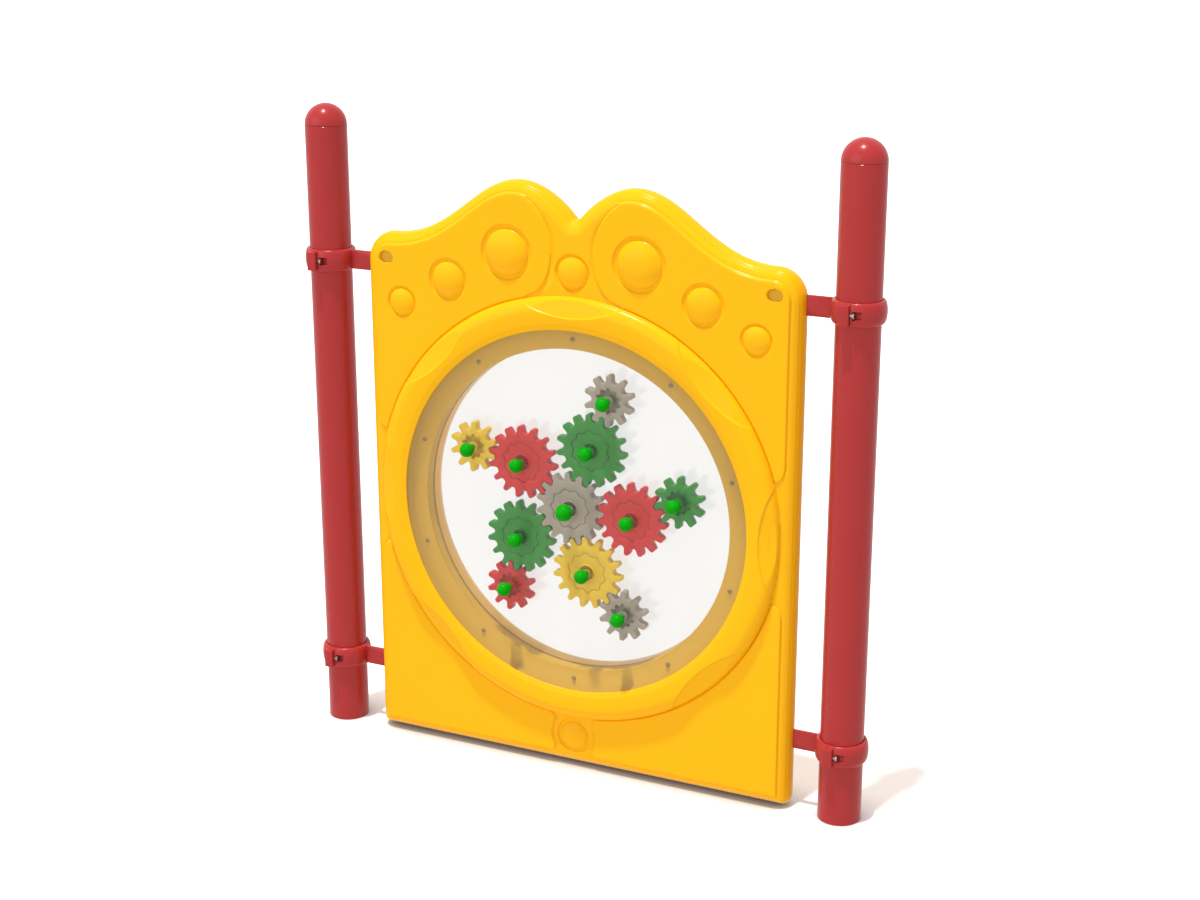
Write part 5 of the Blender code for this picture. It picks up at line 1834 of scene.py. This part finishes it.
@dataclass
class Posts:
    """The two steel posts with their domed caps."""

    radius: float = 0.04445
    wall: float = 0.004
    top: float = 1.3418
    plug_depth: float = 0.025
    cap_wall: float = 0.0035
    edge: float = 0.0007
    rim_ease: float = 0.0006
    segments: int = 112

    def build(self, palette: Palette) -> None:
        """Builds and dresses both posts and caps."""
        material = palette.of(Finish.POST)
        for side, name in SIDES:
            move = Matrix.Translation((side * POST_X, PANEL_Y, 0))
            tube = Draft()
            tube.turned(self._tube_profile(), self.segments)
            piece = tube.piece(f"dressed_post_{name}", move, 30)
            settle(piece, FIXED, Finish.POST, material, f"post_{name}")
            cap = Draft()
            cap.turned(self._cap_profile(), self.segments)
            piece = cap.piece(f"dressed_cap_{name}", move, 40)
            settle(piece, FIXED, Finish.POST, material, f"post_cap_{name}")

    def _tube_profile(self) -> list[tuple[float, float]]:
        """Returns the tube's outline as radii and levels."""
        inner, e = self.radius - self.wall, self.edge
        top = self.top - FIT
        outer = [(self.radius, float(w)) for w in np.linspace(e, top - e, 12)]
        profile = [(inner, 0.0), (self.radius - e, 0.0)] + outer
        return profile + [(self.radius - e, top), (inner, top), (inner, 0.0)]

    def _cap_profile(self) -> list[tuple[float, float]]:
        """Returns the cap's outline with its plug as radii and levels."""
        plug = self.radius - self.wall - FIT
        hollow = plug - self.cap_wall
        foot = self.top - self.plug_depth
        dome = arc((0, self.top), self.radius, 90, 1.0, 30)
        inside_dome = arc((0, self.top), hollow, 0, 90, 12)
        shape = [(0.0, self.top + self.radius)] + [(float(r), float(w)) for r, w in dome[1:]]
        shape += [(self.radius - self.rim_ease, self.top), (plug, self.top), (plug, foot), (hollow, foot)]
        shape += [(float(r), float(w)) for r, w in inside_dome[:-1]]
        return shape + [(0.0, self.top + plug - self.cap_wall)]


@dataclass
class Clamps:
    """The two-part clamps that hold the panel's straps to the posts."""

    bore: float = 0.04475
    bore_ease: float = 0.0008
    flat_radius: float = 0.0470
    bulge: float = 0.0077
    width: float = 0.046
    split: float = 0.0006
    lug_width: float = 0.020
    lug_radius: float = 0.060
    lug_rise: float = 0.0025
    lug_height: float = 0.040
    recess_flange: float = 0.004
    recess_length: float = 0.018
    recess_radius: float = 0.0085
    thread_radius: float = 0.0033
    thread_depth: float = 0.0141
    strap_thickness: float = 0.006
    strap_width: float = 0.041
    strap_end: float = 0.425
    strap_bolt_x: float = 0.445
    strap_hole: float = 0.0043
    crisp_angle: float = 28.0
    segments: int = 72

    def _half_ring(self, side: int) -> bpy.types.Object:
        """Builds half of the bulged ring, closed at both ends.

        Args:
            side: 1 for the half on the +X side, -1 for the other.

        Returns:
            A loose object for the joining.
        """
        half, ease = self.width / 2, self.bore_ease
        outside = [
            (self.flat_radius + self.bulge * math.cos(a) ** 0.85, half * math.sin(a))
            for a in np.radians(np.linspace(86, -86, 25))
        ]
        profile = [(self.bore, half - ease), (self.bore + ease, half), (self.flat_radius, half)]
        profile += outside
        profile += [(self.flat_radius, -half), (self.bore + ease, -half), (self.bore, -half + ease)]
        rows = []
        gap = self.split / 2
        for radius, level in profile:
            reach = math.acos(gap / radius)
            a = np.linspace(-reach, reach, self.segments + 1)
            rows.append(np.stack([side * radius * np.cos(a), radius * np.sin(a), np.full(len(a), level)], 1))
        draft = Draft()
        draft.strip(rows + rows[:1], closed=False)
        for end in (0, -1):
            ring = np.array([row[end] for row in rows])
            draft.add(ring, [tuple(range(len(ring)))])
        return draft.piece("half_ring", Matrix.Identity(4), 30)

    @staticmethod
    def _carve(base: bpy.types.Object, tool: bpy.types.Object, operation: str) -> None:
        """Joins or cuts one shape with another and drops the tool."""
        step = base.modifiers.new("carve", "BOOLEAN")
        step.object, step.operation, step.solver = tool, operation, "EXACT"
        bpy.context.view_layer.update()
        shaped = bpy.data.meshes.new_from_object(base.evaluated_get(bpy.context.evaluated_depsgraph_get()))
        base.modifiers.clear()
        base.data = shaped
        bpy.data.objects.remove(tool)

    def _cylinder(self, radius: float, start: float, end: float, way: int) -> bpy.types.Object:
        """Builds a round cutter along X on one of the clamp's bolt lines."""
        draft = Draft()
        draft.turned([(0.0, start), (radius, start), (radius, end), (0.0, end)], 40)
        move = Matrix.Translation((0, way * BOLT_OFFSET, 0)) @ Matrix.Rotation(math.radians(90), 4, "Y")
        return draft.piece("bolt_line", move, 30)

    def _lug(self, way: int) -> bpy.types.Object:
        """Builds the lug that a bolt screws into, on the front (-1) or the rear (1) of a half."""
        lug = Draft()
        reach = self.lug_radius + (self.lug_rise if way < 0 else 0.0)
        low, high = sorted((way * (self.flat_radius - 0.001), way * reach))
        half_height = self.lug_height / 2
        lug.block((-self.lug_width, -half_height, low), (-self.split / 2, half_height, high), 0.0009)
        return lug.piece("lug", Matrix.Rotation(math.radians(90), 4, "X").inverted(), 30)

    def _add_strap(self, body: bpy.types.Object, side: int, strap: float) -> None:
        """Joins the flat strap to a half and drills its bolt hole.

        Args:
            body: The half.
            side: 1 or -1, the way that the strap points along X.
            strap: How far it reaches from the post's axis.
        """
        turn = Matrix.Rotation(math.radians(90), 4, "X")
        low, high = sorted((side * (self.bore + 0.0005), side * strap))
        half_width, half_thickness = self.strap_width / 2, self.strap_thickness / 2
        flat = Draft()
        flat.block((low, -half_width, -half_thickness), (high, half_width, half_thickness), 0.0008)
        self._carve(body, flat.piece("strap", turn, 30), "UNION")
        hole = Draft()
        r, at = self.strap_hole, (side * (POST_X - self.strap_bolt_x), 0.0)
        hole.turned([(0.0, -0.01), (r, -0.01), (r, 0.01), (0.0, 0.01)], 32, at)
        self._carve(body, hole.piece("bolt_hole", turn, 30), "DIFFERENCE")

    def half(self, name: str, side: int, strap: float) -> bpy.types.Object:
        """Builds one half of a clamp round the origin.

        Args:
            name: The piece's name.
            side: 1 for the half on the +X side, -1 for the half with the lugs.
            strap: How far its strap reaches from the post's axis, or 0 for none.

        Returns:
            The piece.
        """
        body = self._half_ring(side)
        for way in (-1, 1):
            if side < 0:
                self._carve(body, self._lug(way), "UNION")
                thread = self._cylinder(self.thread_radius, -self.thread_depth, 0.002, way)
                self._carve(body, thread, "DIFFERENCE")
            else:
                end = self.recess_flange + self.recess_length
                recess = self._cylinder(self.recess_radius, self.recess_flange, end, way)
                self._carve(body, recess, "DIFFERENCE")
                self._carve(body, self._cylinder(self.thread_radius, -0.002, 0.005, way), "DIFFERENCE")
        if strap:
            self._add_strap(body, side, strap)
        body.name = name
        body.data.name = name
        return body

    def build(self, palette: Palette) -> None:
        """Builds and dresses the eight halves."""
        material = palette.of(Finish.POST)
        length = POST_X - self.strap_end
        for side, side_name in SIDES:
            for row, height in CLAMP_HEIGHTS.items():
                for kind, half_side, strap in (("outer", side, 0.0), ("inner", -side, length)):
                    node = f"clamp_{kind}_{row}_{side_name}"
                    piece = self.half(f"dressed_{node}", half_side, strap)
                    piece.data.transform(Matrix.Translation((side * POST_X, PANEL_Y, height)))
                    self._smooth(piece)
                    settle(piece, FIXED, Finish.POST, material, node)

    def _smooth(self, obj: bpy.types.Object) -> None:
        """Cleans a carved shape and shades it smoothly between its crisp edges."""
        bm = bmesh.new()
        bm.from_mesh(obj.data)
        bmesh.ops.remove_doubles(bm, verts=bm.verts, dist=1e-5)
        bmesh.ops.triangulate(bm, faces=[f for f in bm.faces if len(f.verts) > 4])
        limit = math.radians(self.crisp_angle)
        for face in bm.faces:
            face.smooth = True
        for edge in bm.edges:
            edge.smooth = not (len(edge.link_faces) == 2 and edge.calc_face_angle(0) > limit)
        bm.to_mesh(obj.data)
        bm.free()


@dataclass
class Studio:
    """The floor, the lights, the world and the camera."""

    camera_at: tuple[float, float, float] = (1.7090, -3.46395, 1.8939)
    azimuth: float = 25.553
    elevation: float = 17.058
    lens: float = 58.83
    sun_way: tuple[float, float, float] = (0.059, 0.191, -0.98)
    sun_strength: float = 3.0
    sun_angle: float = 2.6
    fill_way: tuple[float, float, float] = (0.45, 0.86, -0.24)
    fill_strength: float = 0.72
    fill_angle: float = 50.0
    world_level: float = 0.545
    floor_colour: tuple[float, float, float] = (0.65, 0.63, 0.59)
    floor_seen: tuple[float, float, float] = (0.92, 0.92, 0.92)
    floor_glow: tuple[float, float, float] = (0.44, 0.38, 0.34)
    contact_reach: float = 0.09
    floor_share: float = 0.76

    def camera(self) -> None:
        """Places the camera at the photograph's angle."""
        data = bpy.data.cameras.new("view")
        data.lens, data.sensor_width, data.sensor_fit = self.lens, 36.0, "HORIZONTAL"
        data.clip_end = 200.0
        camera = bpy.data.objects.new("view", data)
        camera.location = self.camera_at
        camera.rotation_euler = (math.radians(90 - self.elevation), 0, math.radians(self.azimuth))
        bpy.context.scene.collection.objects.link(camera)
        bpy.context.scene.camera = camera

    def lights(self) -> None:
        """Adds the lamp overhead and the broad, soft one in front."""
        overhead = ("overhead", self.sun_way, self.sun_strength, self.sun_angle)
        fill = ("front_fill", self.fill_way, self.fill_strength, self.fill_angle)
        for name, way, strength, angle in (overhead, fill):
            data = bpy.data.lights.new(name, "SUN")
            data.energy, data.angle = strength, math.radians(angle)
            lamp = bpy.data.objects.new(name, data)
            lamp.rotation_euler = Vector(way).to_track_quat("-Z", "Y").to_euler()
            bpy.context.scene.collection.objects.link(lamp)

    def world(self) -> None:
        """Adds an even white world, at full white where the camera or a reflection meets it."""
        world = bpy.data.worlds.new("studio")
        world.use_nodes = True
        bpy.context.scene.world = world
        s = Shading(world.node_tree)
        background = s.tree.nodes["Background"]
        background.inputs["Color"].default_value = (1, 1, 1, 1)
        seen = s.seen(s.node("ShaderNodeLightPath"))
        level = s.math("ADD", s.math("MULTIPLY", seen, 1 - self.world_level), self.world_level)
        s.link(level, background.inputs["Strength"])

    def floor(self) -> None:
        """Adds the pale floor as a plane of the studio."""
        mesh = bpy.data.meshes.new("pale_floor")
        bm = bmesh.new()
        bmesh.ops.create_grid(bm, x_segments=8, y_segments=8, size=30.0)
        bm.to_mesh(mesh)
        bm.free()
        floor = bpy.data.objects.new("pale_floor", mesh)
        floor.location = (0, 0, -0.0004)
        bpy.context.scene.collection.objects.link(floor)
        floor.data.materials.append(self._floor_material())

    def _floor_material(self) -> bpy.types.Material:
        """Builds the floor's finish.

        The camera sees a pale floor with the cast shadow and a soft contact shadow. Reflections and the
        view through the windows see it nearly white.

        Returns:
            The material.
        """
        material, s, shader = new_material("pale_floor")
        out = s.tree.nodes["Material Output"]
        shader.inputs["Roughness"].default_value = 0.9
        shader.inputs["Specular IOR Level"].default_value = 0.1
        path = s.node("ShaderNodeLightPath")
        seen = s.seen(path)
        bare = s.math("LESS_THAN", path.outputs["Transparent Depth"], 0.5)
        direct = s.math("MULTIPLY", path.outputs["Is Camera Ray"], bare)
        tone = s.node("ShaderNodeMix", data_type="RGBA")
        tone.inputs["A"].default_value = (*self.floor_colour, 1)
        contact = s.node("ShaderNodeAmbientOcclusion", {"Distance": self.contact_reach}, samples=12)
        contact.inputs["Color"].default_value = (*self.floor_seen, 1)
        s.link(contact.outputs["Color"], tone.inputs["B"])
        s.link(direct, tone.inputs["Factor"])
        s.link(tone.outputs["Result"], shader.inputs["Base Color"])
        glow = s.node("ShaderNodeEmission", {"Color": (*self.floor_glow, 1)})
        s.link(s.math("MULTIPLY", direct, contact.outputs["AO"]), glow.inputs["Strength"])
        lit = s.node("ShaderNodeAddShader")
        s.link(shader.outputs[0], lit.inputs[0])
        s.link(glow.outputs[0], lit.inputs[1])
        white = s.node("ShaderNodeEmission", {"Strength": 1.0})
        mixed = s.node("ShaderNodeMixShader")
        others = s.math("SUBTRACT", seen, direct, clamp=True)
        s.link(s.math("MULTIPLY", others, self.floor_share), mixed.inputs[0])
        s.link(lit.outputs[0], mixed.inputs[1])
        s.link(white.outputs[0], mixed.inputs[2])
        s.link(mixed.outputs[0], out.inputs["Surface"])
        return material

    def build(self) -> None:
        """Sets up the whole studio."""
        bpy.context.scene.view_settings.view_transform = "Standard"
        self.camera()
        self.lights()
        self.world()
        self.floor()


def main() -> None:
    """Builds the studio and every piece of the panel, in order."""
    logging.basicConfig(level=logging.INFO, format="%(name)s %(message)s")
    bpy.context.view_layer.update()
    Studio().build()
    palette = Palette()
    Mouldings(PanelForm()).build(palette)
    train = GearTrain()
    train.build(palette)
    Windows().build(palette, train.wheels())
    Fasteners().build(palette)
    Posts().build(palette)
    Clamps().build(palette)
    bpy.context.view_layer.update()


if __name__ == "__main__":
    main()
